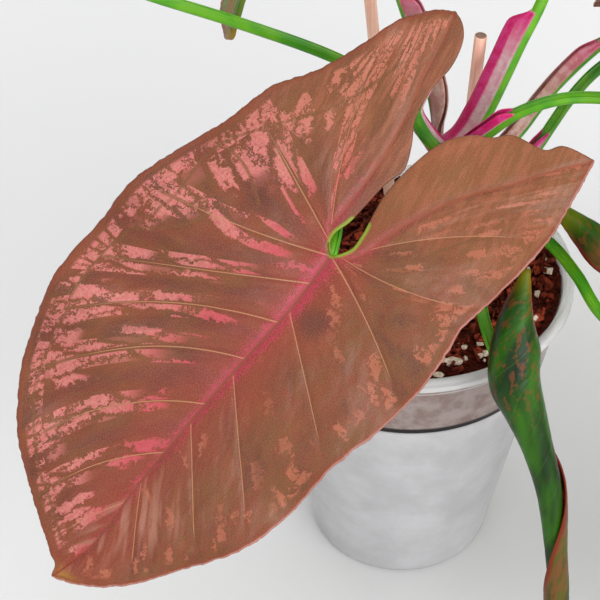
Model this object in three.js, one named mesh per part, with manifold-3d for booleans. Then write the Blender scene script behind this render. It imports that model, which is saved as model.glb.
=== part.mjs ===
// Potted arrowhead plant: ten leaves on one short stem, in a clear nursery pot that hangs in a grey cover pot.
// Millimetres, +Z up. The pots' axis is Z, the cover pot stands on z = 0, and the front is -Y.
import * as THREE from 'three';
import { mergeVertices } from 'three/addons/utils/BufferGeometryUtils.js';
import Module from 'manifold-3d';

const wasm = await Module();
wasm.setup();

// Driving dimensions
const GAP = 0.3;
const POT_SIDES = 40;
const COVER = { footRadius: 34.7, mouthRadius: 51.7, height: 96, wall: 2, floor: 3 };
const NURSERY = {
  footRadius: 31.4, wall: 1.2, lipRadius: 60, lipTop: 130, lipHeight: 5, collarTopRadius: 56.8,
};
const SOIL = { edgeHeight: 126, crown: 4, lump: 1.1 };
const STEM = {
  radius: 4.8, topRadius: 3.8, sides: 14, rings: 8,
  route: [[8, 2, 84], [8, 2, 130], [9, 1.5, 160], [8, 2, 190]],
};
const STAKE = { radius: 2.2, sides: 10 };
const STAKES = [
  { foot: [-3, 43, 99], top: [-20, 43, 262] },
  { foot: [16, 30, 56], top: [23, 30, 211.5] },
];
const BLADE_THICKNESS = 0.8;
const RIB_DEPTH = 0.7;
const ROLL = { pitch: 1.7, turns: 11, ringsPerStation: 1.7 };

const COLOURS = {
  cover: 0xb9b9bb, nursery: 0xd6d6d6, soil: 0x3c1f17, stake: 0xcd9678, stem: 0x5c8a28, stalk: 0x5f9a1e,
  mosaic: 0xa3654f, furled: 0x4c7a33,
};

// The arrowhead blade, flat: u runs from the stalk's joint to the tip, v to the blade's right, in millimetres.
// Its length over the lobes sets how its margins' waves are spread, and they reach full height at the margin's
// usual reach from the skeleton.
const TRACE_SAMPLES = 12;
const PLAN_LENGTH = 233;
const MARGIN_REACH = 40;
const MIDRIB = [[145, -1], [128, 2.5], [100, 1], [55, 0.5], [20, 1.2], [0, 0]];
const PLAN_LEFT = {
  lobeVein: [
    [0, 0], [-6.5, -6.2], [-14, -6.8], [-32, -8], [-51, -11.5], [-64, -15.4], [-75, -18], [-88.6, -21.5],
  ],
  outer: [
    [145, -1], [140.5, -2.6], [137, -7.7], [127.7, -22.4], [116.6, -36.3], [103.6, -47.5], [90.7, -57.1],
    [69.3, -63.9], [55.3, -65.7], [43.3, -65.7], [25.1, -65.8], [7.5, -61.5], [-10.7, -55.5], [-30.2, -50.6],
    [-44.4, -43.1], [-59.4, -37.8], [-73.6, -33.3], [-84.3, -27], [-88.6, -21.5],
  ],
  inner: [
    [0, 0], [-2, -2.6], [-6, -4.2], [-12.8, -2.8], [-30.2, -2], [-37, -0.5], [-45, -3.9], [-51.9, -8.5],
    [-64.2, -11.1], [-73.7, -10.9], [-83, -13.7], [-86.7, -17.1], [-88.6, -21.5],
  ],
  laterals: [
    { from: [108, 1], to: [136, -9], bow: 0.05 }, { from: [86, 1], to: [127, -23], bow: 0.08 },
    { from: [64, 0.6], to: [116, -38], bow: 0.1 }, { from: [44, 0.7], to: [99, -52], bow: 0.1 },
    { from: [28.5, 0.9], to: [78, -61], bow: 0.07 }, { from: [11, 1], to: [55, -66], bow: 0 },
    { from: [0, 0], to: [22, -65], bow: -0.03 }, { from: [-3.5, -3.6], to: [-21, -52.5], bow: 0 },
    { from: [-8, -6.6], to: [-70, -34.8], bow: -0.05 },
  ],
};
const PLAN_RIGHT = {
  lobeVein: [
    [0, 0], [-3.5, 5.6], [-8, 8], [-15, 9.4], [-25, 12.4], [-36, 17], [-45, 22], [-55, 29], [-68, 37],
    [-81, 45.8],
  ],
  outer: [
    [145, -1], [138.3, 9.9], [128.6, 20], [114.4, 29.4], [90.8, 41.7], [73.7, 45.5], [53.2, 45.7], [31.8, 49.8],
    [11.8, 51.1], [-2.7, 49.3], [-8.7, 48.2], [-23.6, 49.9], [-49.9, 51.2], [-65.5, 49], [-81, 45.8],
  ],
  inner: [
    [0, 0], [-2.1, 2], [-6.4, 4], [-11.4, 3.7], [-26.3, 0.8], [-39.7, 1.1], [-53, 4.1], [-61.2, 10.3],
    [-64.2, 15.1], [-69.2, 19.6], [-72.7, 31.4], [-77.3, 34.6], [-81, 45.8],
  ],
  laterals: [
    { from: [98, 1], to: [128, 20.4], bow: 0 }, { from: [72, 0.6], to: [108, 33.3], bow: 0 },
    { from: [51, 0.5], to: [91, 42], bow: 0 }, { from: [22, 1.2], to: [55, 47.2], bow: 0 },
    { from: [0, 0], to: [23, 50.6], bow: 0.03 }, { from: [-2, 3.2], to: [-19, 49.7], bow: -0.06 },
    { from: [-10, 8.6], to: [-50, 51.4], bow: 0.05 },
  ],
};

// How each flat blade lies: where its stalk meets it, where its tip points, where its upper side faces.
const BLADES = {
  a: { joint: [-29.8, -53.6, 183.5], tip: [-0.652, -0.518, -0.554], face: [0, -0.731, 0.683], size: 1,
    droop: 0.0018, fold: 0.1, cup: 0.0016, wave: 1.2, waves: 5.2, step: 7.5 },
  d: { joint: [-28, 64, 292], tip: [-0.4, -0.02, -0.9], face: [-0.97, 0.1, 0.25], size: 0.77,
    droop: 0.001, fold: 0.3, cup: 0.001, wave: 1.5, waves: 4.4, step: 21 },
  e: { joint: [-163, 45, 253], tip: [-0.8, 0.25, -0.55], face: [-0.45, -0.25, 0.85], size: 0.75,
    droop: 0.004, fold: 0.16, cup: 0.002, wave: 2, waves: 4.8, step: 21 },
  f: { joint: [62, 52, 297], tip: [0.25, 0.8, -0.55], face: [0.1, 0.55, 0.83], size: 0.7,
    droop: 0.004, fold: 0.14, cup: 0.002, wave: 2, waves: 4.2, step: 21 },
  g: { joint: [125, -10, 192], tip: [0.75, -0.2, -0.63], face: [0.5, -0.35, 0.8], size: 0.75,
    droop: 0.003, fold: 0.2, cup: 0.002, wave: 2, waves: 5, step: 21 },
  h: { joint: [125, 70, 224], tip: [0.82, 0.4, -0.38], face: [0.34, 0.2, 0.9], size: 0.72,
    droop: 0.004, fold: 0.12, cup: 0.002, wave: 2.2, waves: 4.6, step: 21 },
  i: { joint: [130, 105, 169], tip: [0.45, 0.75, -0.48], face: [0.25, 0.35, 0.9], size: 0.8,
    droop: 0.004, fold: 0.18, cup: 0.002, wave: 1.8, waves: 5.4, step: 21 },
  j: { joint: [135, -80, 108], tip: [0.7, -0.6, -0.39], face: [0.2, -0.35, 0.9], size: 0.75,
    droop: 0.003, fold: 0.15, cup: 0.002, wave: 2, waves: 4.9, step: 21 },
};

// Furled blades: at each point of the roll's axis, its radius, how far the sheet wraps, and where its free edge
// lies; the angles are in degrees round the axis, 0 to the right and 90 to the front.
const FURLED = {
  b: [
    { at: [36, -47, 172], radius: 1.8, wrap: 90, edge: 140 },
    { at: [33, -57, 157], radius: 6.4, wrap: 170, edge: 185 },
    { at: [33, -62, 148], radius: 8.8, wrap: 195, edge: 190 },
    { at: [33, -67, 139], radius: 9, wrap: 205, edge: 200 },
    { at: [37, -72, 129], radius: 7.5, wrap: 240, edge: 235 },
    { at: [41, -77, 119], radius: 6.2, wrap: 290, edge: 290 },
    { at: [46, -84, 103], radius: 5.5, wrap: 370, edge: 370 },
    { at: [49, -92, 79], radius: 4.6, wrap: 420, edge: 480 },
    { at: [51, -97, 59], radius: 4.6, wrap: 360, edge: 550 },
    { at: [51, -103, 35], radius: 2, wrap: 110, edge: 560 },
  ],
  c: [
    { at: [51, -17, 170], radius: 3.6, wrap: 200, edge: 120 },
    { at: [58, -23, 166.5], radius: 6, wrap: 330, edge: 130 },
    { at: [65, -29, 163], radius: 8, wrap: 390, edge: 130 },
    { at: [82, -37, 161], radius: 9, wrap: 400, edge: 135 },
    { at: [102, -46, 157], radius: 7.6, wrap: 420, edge: 150 },
    { at: [121, -54, 148], radius: 5, wrap: 360, edge: 170 },
    { at: [135, -61, 138], radius: 2, wrap: 110, edge: 180 },
  ],
};

// Stalks: their route from the stem to the blade, the sheath's height and how far up the stalk it reaches, and
// how many degrees its groove is turned to the left.
const STALK = {
  radius: 2.1, step: 11, grooveHalf: 0.32, grooveFloor: 0.72, wingHalf: 0.35, wingLean: 0.12, lip: 0.3,
};
const STALKS = {
  a: { sheath: 3.2, reach: 0.3, archAxis: [-0.86, 0.5, 0], route: [[8, 2, 183], [2, 0, 193], [-1, 2, 200],
    [2, 4, 208], [5, 7, 216], [0, 9, 223], [-9, 7, 224], [-18, -1, 216], [-24, -15, 203], [-27, -30, 190],
    [-28, -43, 185], [-29.8, -53, 183.1]] },
  b: { sheath: 2.6, reach: 0.3, route: [[9, 1, 165], [14, -16, 165], [16.5, -32, 163], [20.5, -42, 157],
    [23.3, -51, 149], [27, -61, 143.5], [33, -73, 142]] },
  c: { sheath: 3, reach: 0.7, route: [[9, 2, 168], [30, 0, 167], [44, -8, 169], [50, -16, 170.4]] },
  d: { sheath: 6.5, reach: 0.42, route: [[8, 3, 176], [8, 14, 187], [4, 20, 204], [-5, 26, 229],
    [-15, 36, 261], [-27.9, 63.8, 291.6]] },
  e: { sheath: 3, reach: 0.25, route: [[8, 3, 180], [3, 10, 184], [-4, 15, 191], [-14, 19, 200.5],
    [-28, 22, 208], [-61, 26, 219.8], [-93, 31, 228.5], [-126, 38, 238], [-162.6, 45, 252.6]] },
  f: { sheath: 7.5, reach: 0.5, turn: 75, route: [[9, 3, 177], [19, 8, 182], [25, 12, 191], [30.5, 16, 203],
    [36, 20, 216], [42.5, 25, 230], [52, 37, 262], [62, 51.8, 296.6]] },
  g: { sheath: 3.2, reach: 0.27, route: [[9, 0, 177], [17, -4, 188], [24, -5, 196], [34, -5, 205],
    [48, -4, 210], [62, -2, 209], [85, -4, 207], [108, -7, 201], [124.6, -10, 191.6]] },
  h: { sheath: 4.4, reach: 0.45, turn: 20, route: [[9, 3, 166], [28, 13, 170], [38, 20, 177], [45, 26, 184],
    [53, 33, 190], [67, 41, 200], [95, 55, 213], [124.6, 70, 223.6]] },
  i: { sheath: 3.6, reach: 0.42, route: [[9, 3, 160], [33, 22, 155], [46, 36, 155], [53, 44, 161],
    [60, 51, 168], [71, 60, 175], [99, 80, 178], [129.7, 104.8, 168.6]] },
  j: { sheath: 2.6, reach: 0.25, route: [[9, 1, 166], [30, -7, 164], [48, -13, 153], [57, -23, 147],
    [65, -34, 139], [88, -48, 126], [112, -64, 111], [134.7, -79.8, 107.5]] },
};

const vector = (point) => new THREE.Vector3(...point);
const smoothstep = THREE.MathUtils.smoothstep;
const UP = new THREE.Vector3(0, 0, 1);
const smoothCurve = (knots) => new THREE.CatmullRomCurve3(knots, false, 'centripetal');

// A closed mesh with merged vertices, no flat triangles, and its faces turned outward
function closed(geometry) {
  const bare = geometry.clone();
  for (const name of Object.keys(bare.attributes)) {
    if (name !== 'position') bare.deleteAttribute(name);
  }
  const merged = mergeVertices(bare, 1e-3);
  const index = merged.index.array;
  const position = merged.attributes.position;
  const corner = [0, 1, 2].map(() => new THREE.Vector3());
  const kept = [];
  let volume = 0;
  for (let i = 0; i < index.length; i += 3) {
    const ids = [index[i], index[i + 1], index[i + 2]];
    if (new Set(ids).size < 3) continue;
    ids.forEach((id, k) => corner[k].fromBufferAttribute(position, id));
    volume += corner[0].dot(corner[1].clone().cross(corner[2]));
    kept.push(...ids);
  }
  if (volume < 0) {
    for (let i = 0; i < kept.length; i += 3) [kept[i], kept[i + 1]] = [kept[i + 1], kept[i]];
  }
  merged.setIndex(kept);
  return merged;
}

function toManifold(geometry) {
  const mesh = closed(geometry);
  return new wasm.Manifold(new wasm.Mesh({
    numProp: 3,
    vertProperties: new Float32Array(mesh.attributes.position.array),
    triVerts: new Uint32Array(mesh.index.array),
  }));
}

function toGeometry(manifold) {
  const mesh = manifold.getMesh();
  const geometry = new THREE.BufferGeometry();
  geometry.setAttribute('position', new THREE.BufferAttribute(new Float32Array(mesh.vertProperties), 3));
  geometry.setIndex(Array.from(mesh.triVerts));
  return geometry;
}

// What is left of a piece once its neighbours' room is cut away: its largest body
function clearOf(geometry, rooms) {
  let body = toManifold(geometry);
  for (const room of rooms) body = body.subtract(toManifold(room));
  const bodies = body.decompose();
  bodies.sort((one, other) => other.volume() - one.volume());
  return toGeometry(bodies[0]);
}

function lathe(profile, sides) {
  const geometry = new THREE.LatheGeometry(profile.map(([r, z]) => new THREE.Vector2(r, z)), sides);
  return closed(geometry.rotateX(Math.PI / 2));
}

// A skin through rings of equal point counts, with both ends capped
function loft(rings, flatRing) {
  const count = rings[0].length;
  const position = rings.flat().flatMap((point) => point.toArray());
  const index = [];
  for (let i = 0; i + 1 < rings.length; i++) {
    for (let j = 0; j < count; j++) {
      const a = i * count + j;
      const b = i * count + (j + 1) % count;
      index.push(a, b, b + count, a, b + count, a + count);
    }
  }
  const last = (rings.length - 1) * count;
  const turn = Math.sign(THREE.ShapeUtils.area(flatRing));
  for (const ids of THREE.ShapeUtils.triangulateShape(flatRing, [])) {
    const sameTurn = Math.sign(THREE.ShapeUtils.area(ids.map((id) => flatRing[id]))) === turn;
    const [a, b, c] = sameTurn ? ids : ids.toReversed();
    index.push(a, c, b, last + a, last + b, last + c);
  }
  const geometry = new THREE.BufferGeometry();
  geometry.setAttribute('position', new THREE.Float32BufferAttribute(position, 3));
  geometry.setIndex(index);
  return closed(geometry);
}

// A stalk's section: round below, grooved above, with the sheath's two wings on its shoulders
function stalkSection(wing, grow) {
  const r = STALK.radius + grow;
  const thick = 2 * (STALK.wingHalf + grow);
  const points = [];
  for (let degrees = 30; degrees >= -210; degrees -= 30) {
    const angle = THREE.MathUtils.degToRad(degrees);
    points.push([r * Math.cos(angle), r * Math.sin(angle)]);
  }
  const [shoulder, height] = points[0];
  const x = shoulder - STALK.wingLean * wing;
  const y = height + Math.max(wing, STALK.lip) + grow;
  const groove = [r * STALK.grooveHalf, r * STALK.grooveFloor];
  points.push([-x, y], [thick - x, y], [-groove[0], groove[1]], groove, [x - thick, y], [x, y]);
  return points.map((point) => new THREE.Vector2(...point));
}

// A section's axes lie level, or for a stalk that climbs and arches over, along its given arch axis
function stalkAxes(along, turn, archAxis) {
  const side = archAxis
    ? vector(archAxis).addScaledVector(along, -vector(archAxis).dot(along))
    : along.clone().cross(UP);
  side.normalize().applyAxisAngle(along, THREE.MathUtils.degToRad(-turn));
  return { side, above: side.clone().cross(along) };
}

function stalk({ route, sheath, reach, turn = 0, archAxis }, grow = 0) {
  const curve = smoothCurve(route.map(vector));
  const steps = Math.round(curve.getLength() / STALK.step);
  const rings = [];
  let section;
  for (let i = 0; i <= steps; i++) {
    const t = i / steps;
    const { side, above } = stalkAxes(curve.getTangentAt(t), turn, archAxis);
    const wing = sheath * (1 - smoothstep(t, reach * 0.72, reach));
    section = stalkSection(wing, grow);
    const centre = curve.getPointAt(t);
    rings.push(section.map((p) => centre.clone().addScaledVector(side, p.x).addScaledVector(above, p.y)));
  }
  return loft(rings, section);
}

function taperedRod(route, radius, topRadius, sides, grow = 0) {
  const curve = smoothCurve(route.map(vector));
  const steps = route.length > 2 ? STEM.rings : 1;
  const flat = Array.from({ length: sides }, (_, k) => {
    const angle = (2 * Math.PI * k) / sides;
    return new THREE.Vector2(Math.cos(angle), Math.sin(angle));
  });
  const rings = [];
  for (let i = 0; i <= steps; i++) {
    const t = i / steps;
    const along = curve.getTangentAt(t);
    const side = new THREE.Vector3(0, 1, 0).cross(along).normalize();
    const other = along.clone().cross(side);
    const r = THREE.MathUtils.lerp(radius, topRadius, t) + grow;
    const centre = curve.getPointAt(t);
    rings.push(flat.map((p) => centre.clone().addScaledVector(side, r * p.x).addScaledVector(other, r * p.y)));
  }
  return loft(rings, flat);
}

const stemRod = (grow = 0) => taperedRod(STEM.route, STEM.radius, STEM.topRadius, STEM.sides, grow);
const stakeRod = ({ foot, top }, grow = 0) => (
  taperedRod([foot, top], STAKE.radius, STAKE.radius, STAKE.sides, grow));

// A smooth line through points of the flat blade, with its running length, to be read at a fraction of it
function trace(points) {
  const curve = smoothCurve(points.map(([u, v]) => new THREE.Vector3(u, v, 0)));
  return curve.getPoints(points.length * TRACE_SAMPLES);
}

function measured(line) {
  const lengths = [0];
  for (let i = 1; i < line.length; i++) lengths.push(lengths[i - 1] + line[i].distanceTo(line[i - 1]));
  const total = lengths.at(-1);
  const at = (fraction) => {
    const target = THREE.MathUtils.clamp(fraction, 0, 1) * total;
    let i = lengths.findIndex((length) => length >= target);
    i = Math.max(i, 1);
    const share = (target - lengths[i - 1]) / (lengths[i] - lengths[i - 1]);
    return line[i - 1].clone().lerp(line[i], share);
  };
  const nearest = ([u, v]) => {
    const target = new THREE.Vector3(u, v, 0);
    let best = 0;
    line.forEach((point, i) => {
      if (point.distanceTo(target) < line[best].distanceTo(target)) best = i;
    });
    return lengths[best] / total;
  };
  return { at, nearest, total };
}

// One half of the blade: its skeleton (midrib, then lobe vein), its margins, and the laterals between them
function halfPlan({ lobeVein, outer, inner, laterals }) {
  const midrib = trace(MIDRIB);
  const skeleton = measured([...midrib, ...trace(lobeVein).slice(1)]);
  const margin = measured(trace(outer));
  const joint = skeleton.nearest([0, 0]);
  const anchors = [{ a: 0, b: 0, bow: 0 }, { a: 1, b: 1, bow: 0 }];
  for (const { from, to, bow } of laterals) {
    anchors.push({ a: skeleton.nearest(from), b: margin.nearest(to), bow });
  }
  anchors.sort((one, other) => one.a - other.a);
  const rowAt = (a) => {
    let i = anchors.findIndex((anchor) => anchor.a >= a - 1e-9);
    i = Math.max(i, 1);
    const share = (a - anchors[i - 1].a) / (anchors[i].a - anchors[i - 1].a);
    const mix = (key) => THREE.MathUtils.lerp(anchors[i - 1][key], anchors[i][key], share);
    return { root: skeleton.at(a), edge: margin.at(mix('b')), bow: mix('bow') };
  };
  return { skeleton, joint, anchors, rowAt, innerMargin: measured(trace(inner)) };
}

// Skeleton fractions at which the blade's rows start, close enough for `step` along skeleton and margin alike
function rowStarts(halves, starts, step) {
  const rows = [starts[0]];
  for (let i = 1; i < starts.length; i++) {
    const [low, high] = [starts[i - 1], starts[i]];
    const spans = halves.map((half) => {
      const [one, other] = [half.rowAt(low), half.rowAt(high)];
      return Math.max(one.root.distanceTo(other.root), one.edge.distanceTo(other.edge));
    });
    const parts = Math.max(1, Math.round(Math.max(...spans) / step));
    for (let k = 1; k <= parts; k++) rows.push(THREE.MathUtils.lerp(low, high, k / parts));
  }
  return rows;
}

const distinct = (values) => (
  [...new Set(values.map((value) => value.toFixed(6)))].map(Number).sort((x, y) => x - y));

// The flat blade as triangles between its skeleton and its margins
function flatBlade(step) {
  const halves = [halfPlan(PLAN_LEFT), halfPlan(PLAN_RIGHT)];
  const across = step > 12 ? 3 : 4;
  const innerAcross = 2;
  const points = [];
  const triangles = [];
  const addGrid = (rows) => {
    const width = rows[0].length;
    const start = points.length;
    points.push(...rows.flat());
    for (let i = 0; i + 1 < rows.length; i++) {
      for (let j = 0; j + 1 < width; j++) {
        const a = start + i * width + j;
        triangles.push([a, a + 1, a + width + 1], [a, a + width + 1, a + width]);
      }
    }
  };
  const ribStarts = halves.flatMap((half) => half.anchors.map(({ a }) => a / half.joint));
  const shares = distinct([0, 1, ...ribStarts.filter((share) => share < 1)]);
  const shared = halves.map((half) => ({ rowAt: (share) => half.rowAt(share * half.joint) }));
  const ribRows = rowStarts(shared, shares, step);
  halves.forEach((half, k) => {
    const beyond = half.anchors.map(({ a }) => a).filter((a) => a > half.joint);
    const lobeStarts = distinct([half.joint, 1, ...beyond]);
    const lobeRows = rowStarts([half], lobeStarts, step);
    const starts = [...ribRows.map((share) => share * half.joint), ...lobeRows.slice(1)];
    const rows = starts.map((a) => {
      const { root, edge, bow } = half.rowAt(a);
      const chord = edge.clone().sub(root);
      const aside = new THREE.Vector3(-Math.abs(chord.y), chord.x * Math.sign(chord.y || 1), 0);
      aside.multiplyScalar(bow);
      return Array.from({ length: across + 1 }, (_, j) => {
        const w = (j / across) ** 1.15;
        const point = root.clone().addScaledVector(chord, w).addScaledVector(aside, 4 * w * (1 - w));
        return { u: point.x, v: point.y, reach: w * chord.length() };
      });
    });
    addGrid(k === 0 ? rows : rows.map((row) => row.toReversed()));
    const innerRows = lobeRows.map((a) => {
      const root = half.skeleton.at(a);
      const edge = half.innerMargin.at((a - half.joint) / (1 - half.joint));
      const chord = edge.clone().sub(root);
      return Array.from({ length: innerAcross + 1 }, (_, j) => {
        const w = j / innerAcross;
        const point = root.clone().addScaledVector(chord, w);
        return { u: point.x, v: point.y, reach: w * chord.length() };
      });
    });
    addGrid(k === 0 ? innerRows.map((row) => row.toReversed()) : innerRows);
  });
  return { points, triangles };
}

// The blade's axes in space: along the midrib, to its right, and out of its upper side
function bladeAxes({ tip, face }) {
  const along = vector(tip).normalize();
  const out = vector(face).addScaledVector(along, -vector(face).dot(along)).normalize();
  return { along, out, right: out.clone().cross(along) };
}

// Where a point of the flat blade lies on the drooping, folded and waved one
function lay(blade, axes, { u, v, reach }) {
  const bend = blade.droop * u;
  const along = Math.sin(bend) / blade.droop;
  const sink = (1 - Math.cos(bend)) / blade.droop;
  const wave = blade.wave * (reach / MARGIN_REACH) ** 2
    * Math.sin((2 * Math.PI * blade.waves * u) / PLAN_LENGTH + Math.sign(v));
  const lift = Math.abs(v) * Math.sin(blade.fold) - blade.cup * v * v + wave;
  return vector(blade.joint)
    .addScaledVector(axes.along, blade.size * (along + lift * Math.sin(bend)))
    .addScaledVector(axes.right, blade.size * v * Math.cos(blade.fold))
    .addScaledVector(axes.out, blade.size * (lift * Math.cos(bend) - sink));
}

// A blade of even thickness with its rib raised below, triangulated alike on both faces
function bladeSolid(blade, grow = 0) {
  const axes = bladeAxes(blade);
  const { points, triangles } = flatBlade(blade.step);
  const flat = new THREE.BufferGeometry();
  const places = points.flatMap(({ u, v }) => [u, v, 0]);
  flat.setAttribute('position', new THREE.Float32BufferAttribute(places, 3));
  flat.setAttribute('reach', new THREE.Float32BufferAttribute(points.map(({ reach }) => reach), 1));
  flat.setIndex(triangles.flat());
  const merged = mergeVertices(flat, 1e-3);
  const count = merged.attributes.position.count;
  const faces = [];
  for (let i = 0; i < merged.index.count; i += 3) {
    const face = [0, 1, 2].map((k) => merged.index.getX(i + k));
    if (new Set(face).size === 3) faces.push(face);
  }
  const spots = Array.from({ length: count }, (_, i) => ({
    u: merged.attributes.position.getX(i),
    v: merged.attributes.position.getY(i),
    reach: merged.attributes.reach.getX(i),
  }));
  const middle = spots.map((spot) => lay(blade, axes, spot));
  const normals = middle.map(() => new THREE.Vector3());
  for (const [a, b, c] of faces) {
    const normal = middle[b].clone().sub(middle[a]).cross(middle[c].clone().sub(middle[a]));
    if (normal.dot(axes.out) < 0) normal.negate();
    for (const id of [a, b, c]) normals[id].add(normal);
  }
  normals.forEach((normal) => normal.normalize());
  const half = BLADE_THICKNESS / 2 + grow;
  const upper = middle.map((point, i) => point.clone().addScaledVector(normals[i], half));
  const lower = middle.map((point, i) => {
    const rib = spots[i].reach < 1e-3 ? RIB_DEPTH : 0;
    return point.clone().addScaledVector(normals[i], -half - rib);
  });
  const edges = new Map();
  for (const face of faces) {
    face.forEach((a, k) => {
      const b = face[(k + 1) % 3];
      const twin = `${b},${a}`;
      if (edges.has(twin)) edges.delete(twin);
      else edges.set(`${a},${b}`, [a, b]);
    });
  }
  const index = faces.flat();
  for (const [a, b, c] of faces) index.push(count + a, count + c, count + b);
  for (const [a, b] of edges.values()) index.push(a, count + a, count + b, a, count + b, b);
  const geometry = new THREE.BufferGeometry();
  const position = [...upper, ...lower].flatMap((point) => point.toArray());
  geometry.setAttribute('position', new THREE.Float32BufferAttribute(position, 3));
  geometry.setIndex(index);
  return closed(geometry);
}

// A furled blade: one sheet rolled in a spiral round its axis, tapering to both ends
function furledSolid(stations, grow = 0) {
  const axis = smoothCurve(stations.map(({ at }) => vector(at)));
  const shape = smoothCurve(stations.map(({ radius, wrap, edge }) => (
    new THREE.Vector3(radius, THREE.MathUtils.degToRad(wrap), THREE.MathUtils.degToRad(edge)))));
  const steps = Math.round((stations.length - 1) * ROLL.ringsPerStation);
  const { turns } = ROLL;
  const half = BLADE_THICKNESS / 2 + grow;
  const rings = [];
  let flat;
  for (let i = 0; i <= steps; i++) {
    const t = i / steps;
    const centre = axis.getPoint(t);
    const along = axis.getTangent(t);
    const right = new THREE.Vector3(0, -1, 0.4).cross(along).normalize();
    const toFront = along.clone().cross(right).normalize();
    const { x: radius, y: wrap, z: edge } = shape.getPoint(t);
    const sheet = (offset) => Array.from({ length: turns + 1 }, (_, k) => {
      const sweep = (wrap * k) / turns;
      const r = radius - (ROLL.pitch * sweep) / (2 * Math.PI) + offset;
      return new THREE.Vector2(r * Math.cos(edge - sweep), r * Math.sin(edge - sweep));
    });
    flat = [...sheet(half), ...sheet(-half).reverse()];
    rings.push(flat.map((p) => centre.clone().addScaledVector(right, p.x).addScaledVector(toFront, p.y)));
  }
  return loft(rings, flat);
}

// Pots
const coverSlope = (COVER.mouthRadius - COVER.footRadius) / COVER.height;
const nurseryFloor = COVER.floor + 1.2;
const shoulder = COVER.height + GAP;
const neckRadius = COVER.mouthRadius - COVER.wall - 1.3;
const collarFoot = COVER.mouthRadius + 0.2;
const lipFoot = NURSERY.lipTop - NURSERY.lipHeight;

function coverPot() {
  const { footRadius, mouthRadius, height, wall, floor } = COVER;
  return lathe([
    [0, 0], [footRadius - 1, 0], [footRadius, 1], [mouthRadius - 0.2, height - 0.6],
    [mouthRadius - 0.8, height], [mouthRadius - wall + 0.3, height], [mouthRadius - wall, height - 0.6],
    [footRadius + coverSlope * floor - wall, floor], [0, floor],
  ], POT_SIDES);
}

function nurseryPot() {
  const { footRadius, wall, lipRadius, lipTop, collarTopRadius } = NURSERY;
  return lathe([
    [0, nurseryFloor], [footRadius, nurseryFloor], [neckRadius, shoulder - 0.1],
    [neckRadius + 0.1, shoulder], [collarFoot, shoulder], [collarTopRadius, lipFoot + 0.8],
    [lipRadius - 0.6, lipFoot], [lipRadius, lipFoot + 0.5], [lipRadius, lipTop - 1.6],
    [lipRadius - 1.2, lipTop - 0.2], [lipRadius - 2.8, lipTop],
    [collarTopRadius - wall, lipFoot + 1], [collarFoot - wall, shoulder + wall],
    [neckRadius - wall, shoulder + wall - 0.2], [footRadius - wall, nurseryFloor + wall],
    [0, nurseryFloor + wall],
  ], POT_SIDES);
}

const lumps = (x, y) => Math.sin(x * 0.37 + 1.3) * Math.cos(y * 0.33) + 0.7 * Math.sin(x * 0.71 - y * 0.58)
  + 0.5 * Math.cos(x * 0.9 + y * 1.1);

// The soil fills the nursery pot to just under its lip, and its lumpy top rises a little to the middle
function soil() {
  const inset = NURSERY.wall + GAP;
  const edgeRadius = NURSERY.collarTopRadius - inset - 0.2;
  const rings = 6;
  const top = Array.from({ length: rings }, (_, k) => {
    const r = edgeRadius * (1 - (k + 1) / rings);
    return [r, SOIL.edgeHeight + SOIL.crown * (1 - (r / edgeRadius) ** 2)];
  });
  const body = lathe([
    [0, nurseryFloor + inset], [NURSERY.footRadius - inset - 0.1, nurseryFloor + inset],
    [neckRadius - inset, shoulder + inset - 0.1], [collarFoot - inset - 0.1, shoulder + inset + 0.1],
    [edgeRadius, SOIL.edgeHeight], ...top,
  ], POT_SIDES);
  const position = body.attributes.position;
  for (let i = 0; i < position.count; i++) {
    const [x, y, z] = [position.getX(i), position.getY(i), position.getZ(i)];
    const inside = 1 - (Math.hypot(x, y) / edgeRadius) ** 6;
    if (z > SOIL.edgeHeight) position.setZ(i, z + SOIL.lump * inside * lumps(x, y));
  }
  const holes = [
    stemRod(GAP),
    ...STAKES.map((stake) => stakeRod(stake, GAP)),
  ];
  return clearOf(body, holes);
}

const group = new THREE.Group();
function add(name, geometry, color, roughness) {
  const material = new THREE.MeshStandardMaterial({ color, roughness, metalness: 0 });
  const mesh = new THREE.Mesh(geometry, material);
  mesh.name = name;
  group.add(mesh);
}

add('cover_pot', coverPot(), COLOURS.cover, 0.7);
add('nursery_pot', nurseryPot(), COLOURS.nursery, 0.35);
add('soil', soil(), COLOURS.soil, 0.95);
STAKES.forEach((stake, k) => add(`stake_${k + 1}`, stakeRod(stake), COLOURS.stake, 0.8));
add('stem', stemRod(), COLOURS.stem, 0.5);

const bladeOf = (key, grow = 0) => (
  key in FURLED ? furledSolid(FURLED[key], grow) : bladeSolid(BLADES[key], grow));

// The room that a blade takes at its stalk's end: the blade with the gap all round it, at its notch too
function bladeRoom(key) {
  const room = bladeOf(key, GAP);
  if (key in FURLED) return [room];
  const back = bladeAxes(BLADES[key]).along.multiplyScalar(-1.5 * GAP);
  return [room, room.clone().translate(back.x, back.y, back.z)];
}

for (const key of [...Object.keys(BLADES), ...Object.keys(FURLED)]) {
  add(`blade_${key}`, bladeOf(key), key in FURLED ? COLOURS.furled : COLOURS.mosaic, 0.45);
}

const taken = [stemRod(GAP)];
for (const key of Object.keys(STALKS)) {
  add(`petiole_${key}`, clearOf(stalk(STALKS[key]), [...taken, ...bladeRoom(key)]), COLOURS.stalk, 0.45);
  taken.push(stalk(STALKS[key], GAP));
}

export default group;
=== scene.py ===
import math
from types import SimpleNamespace

import bpy
import numpy as np
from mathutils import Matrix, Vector, noise


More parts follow.
